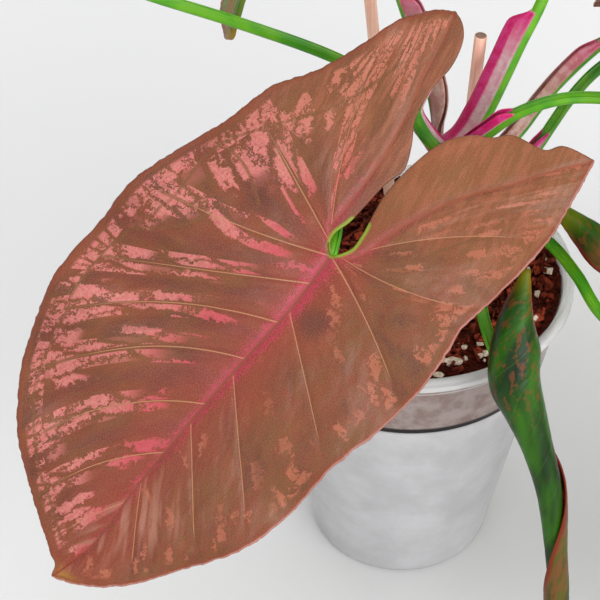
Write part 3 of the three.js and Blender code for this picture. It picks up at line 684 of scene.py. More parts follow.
PLAN_RIGHT = {
    "lobe_vein": [[0, 0], [-3.5, 5.6], [-8, 8], [-15, 9.4], [-25, 12.4], [-36, 17], [-45, 22], [-55, 29],
                  [-68, 37], [-81, 45.8]],
    "outer": [[145, -1], [138.3, 9.9], [128.6, 20], [114.4, 29.4], [90.8, 41.7], [73.7, 45.5], [53.2, 45.7],
              [31.8, 49.8], [11.8, 51.1], [-2.7, 49.3], [-8.7, 48.2], [-23.6, 49.9], [-49.9, 51.2],
              [-65.5, 49], [-81, 45.8]],
    "inner": [[0, 0], [-2.1, 2], [-6.4, 4], [-11.4, 3.7], [-26.3, 0.8], [-39.7, 1.1], [-53, 4.1],
              [-61.2, 10.3], [-64.2, 15.1], [-69.2, 19.6], [-72.7, 31.4], [-77.3, 34.6], [-81, 45.8]],
    "laterals": [([98, 1], [128, 20.4], 0), ([72, 0.6], [108, 33.3], 0), ([51, 0.5], [91, 42], 0),
                 ([22, 1.2], [55, 47.2], 0), ([0, 0], [23, 50.6], 0.03), ([-2, 3.2], [-19, 49.7], -0.06),
                 ([-10, 8.6], [-50, 51.4], 0.05)],
}

# Each blade's joint, the way to its tip, the way its face looks, and how it droops, folds and waves; the side
# leaves share what GROWN gives
GROWN = {"size": 0.75, "droop": 0.004, "cup": 0.002, "wave": 2, "step": 2}
BLADES = {
    "a": {"joint": [-29.8, -53.6, 183.5], "tip": [-0.652, -0.518, -0.554], "face": [0, -0.731, 0.683],
          "size": 1, "droop": 0.0018, "fold": 0.1, "cup": 0.0016, "wave": 1.2, "waves": 5.2, "step": 0.95},
    "d": {"joint": [-28, 64, 292], "tip": [-0.4, -0.02, -0.9], "face": [-0.97, 0.1, 0.25],
          "size": 0.77, "droop": 0.001, "fold": 0.3, "cup": 0.001, "wave": 1.5, "waves": 4.4},
    "e": {"joint": [-163, 45, 253], "tip": [-0.8, 0.25, -0.55], "face": [-0.45, -0.25, 0.85],
          "fold": 0.16, "waves": 4.8},
    "f": {"joint": [62, 52, 297], "tip": [0.25, 0.8, -0.55], "face": [0.1, 0.55, 0.83],
          "size": 0.7, "fold": 0.14, "waves": 4.2},
    "g": {"joint": [125, -10, 192], "tip": [0.75, -0.2, -0.63], "face": [0.5, -0.35, 0.8],
          "droop": 0.003, "fold": 0.2, "waves": 5},
    "h": {"joint": [125, 70, 224], "tip": [0.82, 0.4, -0.38], "face": [0.34, 0.2, 0.9],
          "size": 0.72, "fold": 0.12, "wave": 2.2, "waves": 4.6},
    "i": {"joint": [130, 105, 169], "tip": [0.45, 0.75, -0.48], "face": [0.25, 0.35, 0.9],
          "size": 0.8, "fold": 0.18, "wave": 1.8, "waves": 5.4},
    "j": {"joint": [135, -80, 108], "tip": [0.7, -0.6, -0.39], "face": [0.2, -0.35, 0.9],
          "droop": 0.003, "fold": 0.15, "waves": 4.9},
}

# The grid's widths from a rib outward and inward, and the span between laterals given where there are none
OUTER_WIDTH = 56
INNER_WIDTH = 10
NO_SPAN = 60.0


class Half:
    """One half of the blade: its skeleton (midrib, then lobe vein), its margins and its laterals."""

    def __init__(self, side, plan):
        self.side = side
        self.skeleton = Line(MIDRIB, plan["lobe_vein"])
        self.margin = Line(plan["outer"])
        self.inner = Line(plan["inner"])
        self.joint = self.skeleton.nearest(np.array([0.0, 0.0]))
        anchors = [(0.0, 0.0, 0.0), (1.0, 1.0, 0.0)]
        for start, end, bow in plan["laterals"]:
            anchors.append((self.skeleton.nearest(np.array(start)), self.margin.nearest(np.array(end)), bow))
        self.anchors = np.array(sorted(anchors))

    def rows(self, a, across):
        """Rows from the skeleton to the outer margin: points, lanes, spans, shares of the way and reaches."""
        starts, ends, bows = self.anchors.T
        root = self.skeleton.at(a)[:, None]
        chord = self.margin.at(np.interp(a, starts, ends))[:, None] - root
        bow = np.interp(a, starts, bows)[:, None, None]
        sign = np.where(chord[..., 1] < 0, -1.0, 1.0)
        aside = np.stack([-np.abs(chord[..., 1]), chord[..., 0] * sign], axis=-1) * bow
        w = np.linspace(0, 1, across + 1)[None, :, None]
        flat = root + chord * w + aside * 4 * w * (1 - w)
        shape = flat.shape[:2]
        lane = np.broadcast_to(np.interp(a, starts, np.arange(len(starts)))[:, None], shape)
        apart = np.maximum(np.abs(np.gradient(lane, axis=0)), 1e-6)
        span = np.linalg.norm(np.gradient(flat, axis=0), axis=-1) / apart
        reach = w[..., 0] * np.linalg.norm(chord, axis=-1)
        return flat, lane, span, np.broadcast_to(w[..., 0], shape), reach

    def inner_rows(self, a, across):
        """The same from the lobe vein to the inner margin, where no laterals run."""
        root = self.skeleton.at(a)[:, None]
        chord = self.inner.at((a - self.joint) / (1 - self.joint))[:, None] - root
        w = np.linspace(0, 1, across + 1)[None, :, None]
        flat = root + chord * w
        shape = flat.shape[:2]
        reach = w[..., 0] * np.linalg.norm(chord, axis=-1)
        return flat, np.full(shape, len(self.anchors) - 0.5), np.full(shape, NO_SPAN), np.zeros(shape), reach


def row_starts(half, low, high, step):
    """Skeleton fractions from low to high, with every lateral among them, about step apart."""
    starts = half.anchors[:, 0]
    knots = np.unique(np.round([low, high, *starts[(starts > low) & (starts < high)]], 6))
    rows = [knots[0]]
    for one, other in zip(knots, knots[1:]):
        ends = half.margin.at(np.interp([one, other], half.anchors[:, 0], half.anchors[:, 1]))
        span = max((other - one) * half.skeleton.total, np.linalg.norm(ends[1] - ends[0]))
        parts = max(1, round(span / step))
        rows.extend(one + (other - one) * np.arange(1, parts + 1) / parts)
    return np.array(rows)


def thinned(values, least):
    """Rising values without those that follow the last one kept too closely."""
    kept = [values[0]]
    for value in values[1:-1]:
        if value - kept[-1] > least and values[-1] - value > least:
            kept.append(value)
    return np.array(kept + [values[-1]])


def grid_triangles(rows, width, flipped):
    """The triangles of a grid of points, turned over where flipped."""
    i, j = np.meshgrid(np.arange(rows - 1), np.arange(width - 1), indexing="ij")
    one = (i * width + j).ravel()
    quads = np.column_stack([one, one + 1, one + width + 1, one + width])
    if flipped:
        quads = quads[:, ::-1]
    return np.concatenate([quads[:, [0, 1, 2]], quads[:, [0, 2, 3]]])


def flat_blade(step):
    """The flat blade's points, the values on which their looks depend, its triangles and its halves."""
    halves = [Half(-1, PLAN_LEFT), Half(1, PLAN_RIGHT)]
    ribs = [row_starts(half, 0, half.joint, step) / half.joint for half in halves]
    shared = thinned(np.unique(np.concatenate(ribs)), step * ROW_SHARE / MIDRIB_LENGTH)
    points, values, faces = [], [], []
    start = 0
    for half in halves:
        lobe = row_starts(half, half.joint, 1, step)
        outer = half.rows(np.concatenate([shared * half.joint, lobe[1:]]), round(OUTER_WIDTH / step))
        inner = half.inner_rows(lobe, max(4, round(INNER_WIDTH / step)))
        for grid, flipped in ((outer, half.side > 0), (inner, half.side < 0)):
            flat, *given = grid
            rows, width = flat.shape[:2]
            faces.append(grid_triangles(rows, width, flipped) + start)
            points.append(flat.reshape(-1, 2))
            sides = np.full(rows * width, float(half.side))
            values.append(np.column_stack([value.ravel() for value in given] + [sides]))
            start += rows * width
    points, values, faces = np.concatenate(points), np.concatenate(values), np.concatenate(faces)
    _, first, again = np.unique(np.round(points, 2), axis=0, return_index=True, return_inverse=True)
    faces = again.ravel()[faces]
    sound = (faces[:, 0] != faces[:, 1]) & (faces[:, 1] != faces[:, 2]) & (faces[:, 0] != faces[:, 2])
    points, values = points[first], values[first]
    reach = values[:, 3]
    values[np.abs(reach) < 1e-6, 4] = 0
    return points, values, faces[sound], halves


def lay(blade, flat, reach):
    """Where the flat points lie on the drooping, folded and waved blade."""
    u, v = flat.T
    along = unit(blade["tip"])
    face = np.array(blade["face"], float)
    out = unit(face - along * (face @ along))
    right = np.cross(out, along)
    bend = blade["droop"] * u
    forward = np.sin(bend) / blade["droop"]
    sink = (1 - np.cos(bend)) / blade["droop"]
    wave = (blade["wave"] * (reach / MARGIN_REACH) ** 2
            * np.sin(2 * np.pi * blade["waves"] * u / PLAN_LENGTH + np.sign(v)))
    lift = np.abs(v) * math.sin(blade["fold"]) - blade["cup"] * v * v + wave
    size = blade["size"]
    return (np.array(blade["joint"])
            + size * (forward + lift * np.sin(bend))[:, None] * along
            + size * (v * math.cos(blade["fold"]))[:, None] * right
            + size * (lift * np.cos(bend) - sink)[:, None] * out)


def normals_of(points, faces):
    a, b, c = (points[faces[:, k]] for k in range(3))
    turn = np.cross(b - a, c - a)
    normals = np.zeros_like(points)
    for k in range(3):
        np.add.at(normals, faces[:, k], turn)
    return unit(normals + 1e-12)


# Finer veins: the collective vein inside the left margin, and branches of the laterals
BRANCHES = [
    [[-64, -24], [-50, -27], [-36, -32], [-28, -37], [-18, -44], [-6, -51], [4, -53], [18, -52], [36, -56],
     [46, -58], [62, -57], [71, -54.5], [90, -50], [99, -45], [109, -36], [118, -27], [125, -16], [132, -7]],
    [[15, -39], [24, -44], [36, -56]],
    [[-5, -49], [-4, -41], [0, -33], [3, -29]],
    [[-15, 22], [-22, 25], [-34, 32], [-38, 36]],
]


# Heights of the upper side's relief, each with its width or its grain's size
QUILT = 0.8
VEIN = {"depth": 0.32, "width": 0.9}
RIB = {"depth": 0.55, "width": 1.3, "keel": 0.9, "keel_width": 1.2}
LOBE_RIB = {"depth": 0.35, "width": 1.1, "keel": 0.5, "keel_width": 1.0}
PUCKER = 0.3
PLEATS = 0.45
SWELL = {"height": 0.7, "size": 26}
RIPPLE = {"height": 0.3, "size": 5}
RAGGED = {"height": 0.45, "size": 3.2, "from_edge": 3}


def blade_relief(flat, values, rib, lobe, edge):
    """How far the upper side rises: quilted between sunken laterals, rippled at the margin."""
    lane, span, w, reach, side = values.T
    near = np.abs(lane - np.round(lane)) * span
    cell = np.sin(np.pi * (lane - np.floor(lane))) ** 2
    body = np.sin(np.pi * np.clip(w, 0, 1)) ** 0.8
    sunk = -VEIN["depth"] * bell(near, VEIN["width"]) * smoothstep(w, 0.0, 0.05) * (1 - smoothstep(w, 0.8, 1))
    groove = -RIB["depth"] * bell(rib, RIB["width"]) - LOBE_RIB["depth"] * bell(lobe, LOBE_RIB["width"])
    pucker = PUCKER * grain(np.column_stack([lane * 3.1, reach / 11, side * 3]), 1.0, 1, 3) * body
    tipward = smoothstep(flat[:, 0], 60, 110) * smoothstep(flat[:, 1], -8, 4)
    pleats = PLEATS * grain(np.column_stack([lane * 4.3, reach / 30, side * 7]), 1.0, 6, 2) * body * tipward
    swell = SWELL["height"] * grain(flat, SWELL["size"], 2, 2) * smoothstep(edge, 0, 12)
    ripple = RIPPLE["height"] * grain(flat, RIPPLE["size"], 3, 2) * (1 - smoothstep(edge, 1, 7))
    return QUILT * cell * body + sunk + groove + pucker + pleats + swell + ripple


def closed_skin(upper, lower, middle, normals, faces):
    """A skin over both sides and a rounded margin: points, faces, their materials and the margin's points."""
    count = len(upper)
    edges = np.concatenate([faces[:, [0, 1]], faces[:, [1, 2]], faces[:, [2, 0]]])
    _, index, times = np.unique(edges.min(1) * count + edges.max(1), return_index=True, return_counts=True)
    border = edges[index[times == 1]]
    rim_ids = np.unique(border)
    rim_of = np.full(count, -1)
    rim_of[rim_ids] = np.arange(len(rim_ids)) + 2 * count
    outward = np.zeros((count, 3))
    for one, other in border:
        away = np.cross(middle[other] - middle[one], normals[one])
        outward[one] += away
        outward[other] += away
    bulge = (upper[rim_ids] + lower[rim_ids]) / 2 + unit(outward[rim_ids]) * HALF_THICK
    one, other = border.T
    skins = [
        faces,
        np.column_stack([other, one, rim_of[one], rim_of[other]]),
        np.column_stack([rim_of[other], rim_of[one], one + count, other + count]),
        faces[:, ::-1] + count,
    ]
    joined = [face for skin in skins for face in skin.tolist()]
    kinds = [0] * (len(faces) + 2 * len(border)) + [1] * len(faces)
    return np.concatenate([upper, lower, bulge]), joined, kinds, rim_ids


def blade(key, upper_material, lower_material):
    """A blade as one closed skin: its upper side, a rounded margin and its lower side with the rib's keel."""
    shape = {**GROWN, **BLADES[key]}
    flat, values, faces, halves = flat_blade(shape["step"])
    rib = distance_to(flat, Line(MIDRIB, per_span=6).points)
    lobe = distance_to_any(flat, [half.skeleton.at(np.linspace(half.joint, 1, 60)) for half in halves])
    edge = distance_to_any(flat, [half.margin.at(np.linspace(0, 1, 220)) for half in halves])
    notch = distance_to_any(flat, [half.inner.at(np.linspace(0, 0.16, 30)) for half in halves])
    branch = distance_to_any(flat, [catmull(line, 8) for line in BRANCHES])
    lane, span, w, reach, side = values.T
    near_margin = 1 - smoothstep(edge, 0, RAGGED["from_edge"])
    ragged = RAGGED["height"] * grain(flat, RAGGED["size"], 8, 3) * near_margin
    middle = lay(shape, flat + unit(flat - BLADE_MIDDLE) * ragged[:, None], reach)
    normals = normals_of(middle, faces)
    if (normals @ np.array(shape["face"])).mean() < 0:
        faces = faces[:, ::-1]
        normals = -normals
    relief = blade_relief(flat, values, rib, lobe, edge)
    keel = sum(vein["keel"] * bell(away, vein["keel_width"]) for vein, away in ((RIB, rib), (LOBE_RIB, lobe)))
    upper = middle + normals * (HALF_THICK + relief)[:, None]
    lower = middle + normals * (relief * 0.8 - HALF_THICK - keel)[:, None]
    points, skin, kinds, rim_ids = closed_skin(upper, lower, middle, normals, faces)
    tables = {"plan": (*flat.T, side), "row": (lane, span, w), "bands": (rib, lobe, edge),
              "veins": (branch, reach, notch)}
    fields = {}
    for name, columns in tables.items():
        table = np.column_stack(columns)
        fields[name] = np.concatenate([table, table, table[rim_ids]])
    obj = make_piece(f"leaf_{key}", points, skin, [upper_material, lower_material], kinds, fields)
    return dress(obj, f"blade_{key}")


# Furled blades: along the roll's axis its radius, its turn in degrees and where its outer edge lies

ROLL_PITCH = 1.7
FURLED = {
    "b": [([36, -47, 172], 1.8, 90, 140), ([33, -57, 157], 6.4, 170, 185), ([33, -62, 148], 8.8, 195, 190),
          ([33, -67, 139], 9, 205, 200), ([37, -72, 129], 7.5, 240, 235), ([41, -77, 119], 6.2, 290, 290),
          ([46, -84, 103], 5.5, 370, 370), ([49, -92, 79], 4.6, 420, 480), ([51, -97, 59], 4.6, 360, 550),
          ([51, -103, 35], 2, 110, 560)],
    "c": [([51, -17, 170], 3.6, 200, 120), ([58, -23, 166.5], 6, 330, 130), ([65, -29, 163], 8, 390, 130),
          ([82, -37, 161], 9, 400, 135), ([102, -46, 157], 7.6, 420, 150), ([121, -54, 148], 5, 360, 170),
          ([135, -61, 138], 2, 110, 180)],
}

# How far along each roll its outer layer turns brown-pink beside the margin
MOTTLED_FROM = {"b": 72, "c": 10}

# The roll's raised veins: how high, how thick, and how they slant along and round it
ROLL_VEIN = {"height": 0.14, "width": math.sqrt(0.003), "along": 0.085, "around": 0.07}


def roll_values(key, length, around, width):
    """A roll's vertex values on one ring: its place on the sheet, and the zones of its looks."""
    edge = np.minimum(around, width - around)
    mottled = smoothstep(length, MOTTLED_FROM[key], MOTTLED_FROM[key] + 12) * (1 - smoothstep(around, 8, 14))
    ringed, seam = 1 - smoothstep(length, 40, 60), 1 - smoothstep(length, 2, 12)
    even = np.ones(len(around))
    roll = np.column_stack([length * even, around, edge])
    return roll, np.column_stack([mottled, ringed * even, seam * even])


def furled(key, outside, inside, rings_per_station=14, turns=90):
    """A furled blade: one sheet rolled in a spiral round its axis, tapering to both ends."""
    stations = FURLED[key]
    axis = catmull([at for at, *_ in stations], rings_per_station)
    shape = catmull([[radius, math.radians(wrap), math.radians(edge)] for _, radius, wrap, edge in stations],
                    rings_per_station)
    along = unit(np.gradient(axis, axis=0))
    right = unit(np.cross([0, -1, 0.4], along))
    to_front = np.cross(along, right)
    lengths = np.concatenate([[0], np.cumsum(np.linalg.norm(np.diff(axis, axis=0), axis=1))])
    rings, rolls, zones = [], [], []
    for i, (radius, wrap, edge) in enumerate(shape):
        sweep = wrap * np.linspace(0, 1, turns + 1)
        around = radius * sweep
        slant = (lengths[i] * ROLL_VEIN["along"] + around * ROLL_VEIN["around"]) % 1
        vein = ROLL_VEIN["height"] * bell(slant - 0.5, ROLL_VEIN["width"])
        angle = edge - sweep
        layers = []
        for sign in (1, -1):
            r = radius - ROLL_PITCH * sweep / (2 * np.pi) + sign * (HALF_THICK - vein)
            out = np.outer(r * np.cos(angle), right[i]) + np.outer(r * np.sin(angle), to_front[i])
            layers.append(axis[i] + out)
        roll, zone = roll_values(key, lengths[i], around, radius * wrap)
        rings.append(np.concatenate([layers[0], layers[1][::-1]]))
        rolls.append(np.concatenate([roll, roll[::-1]]))
        zones.append(np.concatenate([zone, zone[::-1]]))
    points, faces = capped_loft(rings)
    fields = {"roll": with_caps(rolls), "zone": with_caps(zones)}
    count = 2 * (turns + 1)
    kinds = [int(turns < face[0] % count < count - 1) for face in faces]
    obj = make_piece(f"furled_{key}", points, faces, [outside, inside], kinds, fields)
    return dress(obj, f"blade_{key}")


# Stalks

STALK = {"radius": 2.1, "groove_half": 0.32, "groove_floor": 0.72, "wing_half": 0.35, "lean": 0.12,
         "lip": 0.3, "step": 1.5}
STALKS = {
    "a": {"sheath": 3.2, "reach": 0.3, "arch_axis": [-0.86, 0.5, 0],
          "route": [[8, 2, 183], [2, 0, 193], [-1, 2, 200], [2, 4, 208], [5, 7, 216], [0, 9, 223],
                    [-9, 7, 224], [-18, -1, 216], [-24, -15, 203], [-27, -30, 190], [-28, -43, 185],
                    [-29.8, -53, 183.1]]},
    "b": {"sheath": 2.6, "reach": 0.3,
          "route": [[9, 1, 165], [14, -16, 165], [16.5, -32, 163], [20.5, -42, 157], [23.3, -51, 149],
                    [27, -61, 143.5], [33, -73, 142]]},
    "c": {"sheath": 3, "reach": 0.7, "route": [[9, 2, 168], [30, 0, 167], [44, -8, 169], [50, -16, 170.4]]},
    "d": {"sheath": 6.5, "reach": 0.5,
          "route": [[8, 3, 176], [8, 14, 187], [4, 20, 204], [-5, 26, 229], [-15, 36, 261],
                    [-27.9, 63.8, 291.6]]},
    "e": {"sheath": 4.2, "reach": 0.25,
          "route": [[8, 3, 180], [3, 10, 184], [-4, 15, 191], [-14, 19, 200.5], [-28, 22, 208],
                    [-61, 26, 219.8], [-93, 31, 228.5], [-126, 38, 238], [-162.6, 45, 252.6]]},
    "f": {"sheath": 7.5, "reach": 0.46, "turn": 82,
          "route": [[9, 3, 177], [19, 8, 182], [25, 12, 191], [30.5, 16, 203], [36, 20, 216],
                    [42.5, 25, 230], [52, 37, 262], [62, 51.8, 296.6]]},
    "g": {"sheath": 3.2, "reach": 0.29,
          "route": [[9, 0, 177], [17, -4, 188], [24, -5, 196], [34, -5, 205], [48, -4, 210], [62, -2, 209],
                    [85, -4, 207], [108, -7, 201], [124.6, -10, 191.6]]},
    "h": {"sheath": 3.2, "reach": 0.56, "turn": 20,
          "route": [[9, 3, 166], [28, 13, 170], [38, 20, 177], [45, 26, 184], [53, 33, 190], [67, 41, 200],
                    [95, 55, 213], [124.6, 70, 223.6]]},
    "i": {"sheath": 3.6, "reach": 0.37,
          "route": [[9, 3, 160], [33, 22, 155], [46, 36, 155], [53, 44, 161], [60, 51, 168], [71, 60, 175],
                    [99, 80, 178], [129.7, 104.8, 168.6]]},
    "j": {"sheath": 2.6, "reach": 0.25,
          "route": [[9, 1, 166], [30, -7, 164], [48, -13, 153], [57, -23, 147], [65, -34, 139],
                    [88, -48, 126], [112, -64, 111], [134.7, -79.8, 107.5]]},
}

# How far up a wing pink starts and magenta starts (below 0 is on the stalk's round side), and the kind of
# pink: 0 rosy, 1 dusty, 2 rosy with a yellow-green rim
STALK_TINT = (0.05, 0.55, 0)
STALK_TINTS = {"d": (-0.2, 2, 1), "e": (-0.45, -0.35, 2), "f": (-0.5, 0.3, 0), "g": (0, 0.1, 0),
               "h": (-0.3, 2, 1)}


def stalk_section(wing):
    """A stalk's section: round below, grooved above, with the sheath's two wings on its shoulders.

    Each point is its place across, its place above, and how far up a wing it lies, from 0 to 1."""
    r = STALK["radius"]
    arc = [(r * math.cos(math.radians(d)), r * math.sin(math.radians(d)), -min(30 - d, d + 210) / 120)
           for d in np.linspace(30, -210, 23)]
    shoulder, base = arc[0][:2]
    height = max(wing, STALK["lip"])
    thick = 2 * STALK["wing_half"]

    def outer(t):
        flare = 0.35 * math.sin(math.pi * t) * min(height, 2.5) / 2.5
        return shoulder - STALK["lean"] * height * t + flare

    up = [(outer(t), base + height * t, t) for t in np.linspace(0, 1, 8)[1:]]
    top = [(outer(1) - thick * 0.5, base + height + 0.12, 1.0)]
    down = [(outer(t) - thick * (1 - 0.3 * t), base + height * t, t) for t in np.linspace(1, 0.12, 7)]
    right = up + top + down + [(r * STALK["groove_half"], r * STALK["groove_floor"], 0.0)]
    left = [(-x, y, t) for x, y, t in right]
    return np.array(arc + left + right[::-1])


def stalk(key, material):
    """A stalk lofted along its route, with its sheath fading out part of the way up."""
    given = STALKS[key]
    line = Line(given["route"])
    t = np.linspace(0, 1, round(line.total / STALK["step"]) + 1)
    turn = math.radians(given.get("turn", 0))
    rings, table = [], []
    for share, centre, along in zip(t, line.at(t), line.tangent(t)):
        if "arch_axis" in given:
            axis = np.array(given["arch_axis"])
            side = unit(axis - along * (axis @ along))
        else:
            side = unit(np.cross(along, UP))
        above = np.cross(side, along)
        side, above = (side * math.cos(turn) + above * math.sin(turn),
                       above * math.cos(turn) - side * math.sin(turn))
        wing = given["sheath"] * (1 - smoothstep(share, given["reach"] * 0.85, given["reach"]))
        section = stalk_section(float(wing))
        rings.append(centre + np.outer(section[:, 0], side) + np.outer(section[:, 1], above))
        even = np.ones(len(section))
        table.append(np.column_stack([even * share / given["reach"], even * wing, section[:, 2]]))
    points, faces = capped_loft(rings)
    fields = {"stalk": with_caps(table), "tint": np.tile(STALK_TINTS.get(key, STALK_TINT), (len(points), 1))}
    obj = make_piece(f"stalk_{key}", points, faces, [material], None, fields)
    return dress(obj, f"petiole_{key}")


# Stem and stakes

NODE_RING = {"rise": 0.5, "width": 0.012}
NARROWING = 0.75
BEVEL = {"share": 0.9, "rise": 0.15}


def rod(name, node, route, radius, top_radius, material, cut=None, rings=(),
        point=0.0, sides=48, step=1.5):
    """A round rod along a route; it swells at the shares given as rings and narrows over its last share."""
    line = Line(route)
    t = np.linspace(0, 1, max(2, round(line.total / step)) + 1)
    centres, alongs = line.at(t), line.tangent(t)
    across, beside = circle(sides)
    loops = []
    for share, centre, along in zip(t, centres, alongs):
        side = unit(np.cross([0, 1, 0], along))
        other = np.cross(along, side)
        swell = sum(NODE_RING["rise"] * bell(share - ring, NODE_RING["width"]) for ring in rings)
        narrowed = NARROWING * smoothstep(share, 1 - point, 1) if point else 0.0
        r = (radius + (top_radius - radius) * share + swell) * (1 - narrowed)
        loops.append(centre + r * (np.outer(across, side) + np.outer(beside, other)))
    loops.append(centres[-1] + (loops[-1] - centres[-1]) * BEVEL["share"] + alongs[-1] * BEVEL["rise"])
    points, faces = capped_loft(loops)
    ends = [int(len(points) - 1 in face) for face in faces] if cut else None
    return dress(make_piece(name, points, faces, [material, cut] if cut else [material], ends), node)


# Pots and soil

def cover_pot():
    foot, mouth, height, wall = (COVER[key] for key in ("foot", "mouth", "height", "wall"))
    profile = [[0, 0], [foot - 1, 0], [foot, 1], [mouth - 0.2, height - 0.6], [mouth - 0.8, height],
               [mouth - wall + 0.3, height], [mouth - wall, height - 0.6], [foot - wall + 0.5, 3], [0, 3]]
    points, faces = lathe(rounded(profile, 1.5))
    return dress(make_piece("grey_cover_pot", points, faces, [cover_material()]), "cover_pot")


def nursery_pot():
    foot, wall, lip, collar, top = (NURSERY[key] for key in ("foot", "wall", "lip", "collar", "lip_top"))
    profile = [[0, POT_FLOOR], [foot, POT_FLOOR], [NECK, SHOULDER - 0.1], [NECK + 0.1, SHOULDER],
               [COLLAR_FOOT, SHOULDER], [collar, LIP_FOOT + 0.8], [lip - 0.6, LIP_FOOT],
               [lip, LIP_FOOT + 0.5], [lip, top - 1.6], [lip - 1.2, top - 0.2], [lip - 2.8, top],
               [collar - wall, LIP_FOOT + 1], [COLLAR_FOOT - wall, SHOULDER + wall],
               [NECK - wall, SHOULDER + wall - 0.2], [foot - wall, POT_FLOOR + wall], [0, POT_FLOOR + wall]]
    points, faces = lathe(rounded(profile, 1.2))
    obj = make_piece("clear_nursery_pot", points, faces, [nursery_material()])
    return dress(obj, "nursery_pot")


def soil_height(x, y):
    """The soil's low crown with its lumps."""
    share = np.hypot(x, y) / SOIL_EDGE
    lumps = (np.sin(x * 0.37 + 1.3) * np.cos(y * 0.33) + 0.7 * np.sin(x * 0.71 - y * 0.58)
             + 0.5 * np.cos(x * 0.9 + y * 1.1))
    return (SOIL["edge"] + SOIL["crown"] * (1 - share ** 2)
            + SOIL["lump"] * (1 - share ** 6) * lumps * 0.6)


BED = {"sides": 180, "wall_rows": 22, "top_rings": 60, "centre": 0.5}
ROUGH = {"size": 2.6, "rise": 1.3, "pull": 1.1}
COARSE = {"size": 7, "rise": 1.6, "pull": 0.8}


def bed():
    """The soil's own body: it fills the nursery pot, and its top and its side by the collar are rough."""
    wall = [[NURSERY["foot"] - SOIL_INSET, POT_FLOOR + SOIL_INSET],
            [NECK - SOIL_INSET, SHOULDER + SOIL_INSET]]
    heights = np.linspace(SHOULDER + SOIL_INSET, SOIL["edge"], BED["wall_rows"])
    low, rise = COLLAR_FOOT - SOIL_INSET, heights[-1] - heights[0]
    slope = [[low + (SOIL_EDGE - low) * (z - heights[0]) / rise, z] for z in heights]
    top = [[r, SOIL["edge"]] for r in np.linspace(SOIL_EDGE, BED["centre"], BED["top_rings"])[1:]]
    profile = [[0, POT_FLOOR + SOIL_INSET], *wall, *slope, *top, [0, SOIL["edge"]]]
    points, faces = lathe(profile, BED["sides"])
    radius = np.hypot(points[:, 0], points[:, 1])
    on_top = points[:, 2] > SOIL["edge"] - 0.01
    points[on_top, 2] = soil_height(points[on_top, 0], points[on_top, 1])
    rough, coarse = grain(points, ROUGH["size"], 4, 3), grain(points, COARSE["size"], 5, 2)
    points[on_top, 2] += (ROUGH["rise"] * rough + COARSE["rise"] * coarse)[on_top]
    on_wall = ~on_top & (points[:, 2] > SHOULDER)
    depth = np.clip(0.5 + ROUGH["pull"] * rough + COARSE["pull"] * coarse, 0, 2)
    points[on_wall, :2] *= 1 - (depth[on_wall] / radius[on_wall])[:, None]
    return points, faces


CRUMBS = 1500
PALE_EVERY = 14
PALE_SIZES = 0.8, 2.6
BARK_SIZES = [1, 0.8, 0.5], [4.6, 2.4, 1.3]
CRUMB_FACES = [[0, 1, 3, 2], [4, 6, 7, 5], [0, 4, 5, 1], [2, 3, 7, 6], [0, 2, 6, 4], [1, 5, 7, 3]]


def crumb(rng, centre, sizes, lumpy=0.3):
    """The corners of a rough block of bark or pumice."""
    corners = np.array([[x, y, z] for x in (-1, 1) for y in (-1, 1) for z in (-1, 1)], float)
    corners = corners * sizes / 2 * (1 + rng.uniform(-lumpy, lumpy, (8, 3)))
    turn, _ = np.linalg.qr(rng.normal(size=(3, 3)))
    return corners @ turn.T + centre


# Larger pumice stones: where each lies, and its sizes
STONES = [([13, -47], [7.5, 3.4, 3]), ([17.5, -40.5], [2.6, 2, 2]), ([8, -53], [4, 2.4, 2]),
          ([23, -44], [2.4, 2.2, 2])]


def pebble(centre, sizes, lats=9, sides=16):
    """A worn stone, longest along X."""
    across, beside = circle(sides)
    rings = []
    for lat in np.linspace(0.08, 0.92, lats) * np.pi:
        ring = np.column_stack([np.full(sides, -np.cos(lat)), np.sin(lat) * across, np.sin(lat) * beside])
        rings.append(ring * sizes / 2)
    points, faces = capped_loft(rings)
    points = points * (1 + 0.22 * grain(points + centre, 1.6, 11, 2))[:, None]
    return points + centre, faces


def soil():
    """The soil: a rough bed with bark crumbs and pale pumice on it."""
    grit, bark, pumice = range(3)
    bodies = [(*bed(), grit)]
    rng = np.random.default_rng(7)
    for number in range(CRUMBS):
        angle, r = rng.uniform(0, 2 * np.pi), (SOIL_EDGE - 2.5) * math.sqrt(rng.uniform())
        x, y = r * math.cos(angle), r * math.sin(angle)
        pale = number % PALE_EVERY == 0
        sizes = rng.uniform(*PALE_SIZES, 3) if pale else rng.uniform(*BARK_SIZES)
        centre = np.array([x, y, float(soil_height(x, y)) + rng.uniform(0.2, 1.3)])
        bodies.append((crumb(rng, centre, sizes), CRUMB_FACES, pumice if pale else bark))
    for (x, y), sizes in STONES:
        centre = np.array([x, y, float(soil_height(x, y)) + 1.5])
        bodies.append((*pebble(centre, np.array(sizes)), pumice))
    points, faces, kinds = [], [], []
    start = 0
    for body, skin, kind in bodies:
        points.append(body)
        faces.extend([[start + index for index in face] for face in skin])
        kinds.extend([kind] * len(skin))
        start += len(body)
    materials = [soil_material(), bark_material(), pumice_material()]
    obj = make_piece("soil_bed", np.concatenate(points), faces, materials, kinds, smooth=False)
    return dress(obj, "soil")


# Set

# The camera stands in millimetres and looks down by tilt; its focal length is measured on a frame that wide
CAMERA = {"place": (-40, -586, 661), "tilt": 43.05, "focal": 2173, "frame": 600, "sensor": 36}


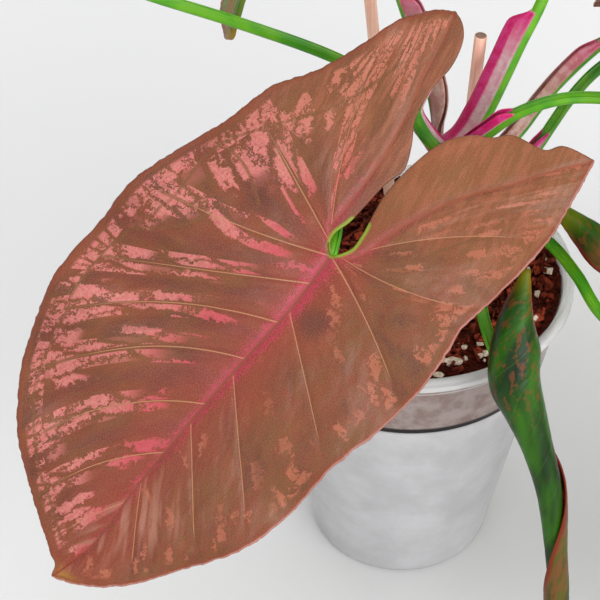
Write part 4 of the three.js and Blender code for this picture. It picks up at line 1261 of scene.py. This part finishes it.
def camera():
    data = bpy.data.cameras.new("camera")
    data.sensor_width = CAMERA["sensor"]
    data.lens = CAMERA["sensor"] * CAMERA["focal"] / CAMERA["frame"]
    data.clip_start = 0.01
    data.clip_end = 10
    data.dof.use_dof = False
    obj = bpy.data.objects.new("camera", data)
    obj.location = Vector(CAMERA["place"]) * MM
    obj.rotation_euler = (math.radians(90 - CAMERA["tilt"]), 0, 0)
    bpy.context.scene.collection.objects.link(obj)
    bpy.context.scene.camera = obj


# Lights and floor stand in metres
FLOOR_HALF = 6.0
SKY_STRENGTH = 1.18
LIGHTS = {
    "key_light": {"place": (0.1, 0.5, 2.3), "aim": (0, 0, 0.1), "size": (3.0, 2.4), "power": 8},
    "side_light": {"place": (0.9, -1.3, 0.8), "aim": (0.15, -0.1, 0), "size": (1.4, 0.9), "power": 20},
    "tip_light": {"place": (-0.75, -1.8, 0.8), "aim": (-0.1, -0.1, 0.15), "size": (0.35, 0.35), "power": 1.6},
}


def area_light(name, place, aim, size, power):
    data = bpy.data.lights.new(name, "AREA")
    data.shape = "RECTANGLE"
    data.size, data.size_y = size
    data.energy = power
    obj = bpy.data.objects.new(name, data)
    obj.location = place
    obj.rotation_euler = (Vector(aim) - Vector(place)).to_track_quat("-Z", "Y").to_euler()
    bpy.context.scene.collection.objects.link(obj)


def studio():
    """A pale floor under a large soft light from above and behind, with weaker ones from the front."""
    mesh = bpy.data.meshes.new("floor")
    corners = [(x * FLOOR_HALF, y * FLOOR_HALF, 0) for x, y in ((-1, -1), (1, -1), (1, 1), (-1, 1))]
    mesh.from_pydata(corners, [], [(0, 1, 2, 3)])
    mesh.materials.append(floor_material())
    floor = bpy.data.objects.new("floor", mesh)
    bpy.context.scene.collection.objects.link(floor)
    for name, light in LIGHTS.items():
        area_light(name, **light)
    world = bpy.data.worlds.new("studio")
    world.use_nodes = True
    background = world.node_tree.nodes["Background"]
    background.inputs["Color"].default_value = (1, 1, 1, 1)
    background.inputs["Strength"].default_value = SKY_STRENGTH
    bpy.context.scene.world = world


bpy.context.scene.view_settings.view_transform = "Standard"
camera()
studio()
cover_pot()
nursery_pot()
soil()
stem_look = stem_material()
rod("plant_stem", "stem", STEM["route"], STEM["radius"], STEM["top_radius"], stem_look,
    rings=STEM["rings"], point=STEM["point"])
wood, cut_wood = stake_material(), cut_material()
for name, (foot, top) in STAKES.items():
    rod(f"wooden_{name}", name, [foot, top], STAKE_RADIUS, STAKE_RADIUS, wood, cut_wood, step=8)
mosaic, underside = mosaic_material(), underside_material()
for key in BLADES:
    blade(key, mosaic, underside)
rolled, rolled_inside = furled_material(), furled_inside_material()
for key in FURLED:
    furled(key, rolled, rolled_inside)
stalk_look = stalk_material()
for key in STALKS:
    stalk(key, stalk_look)
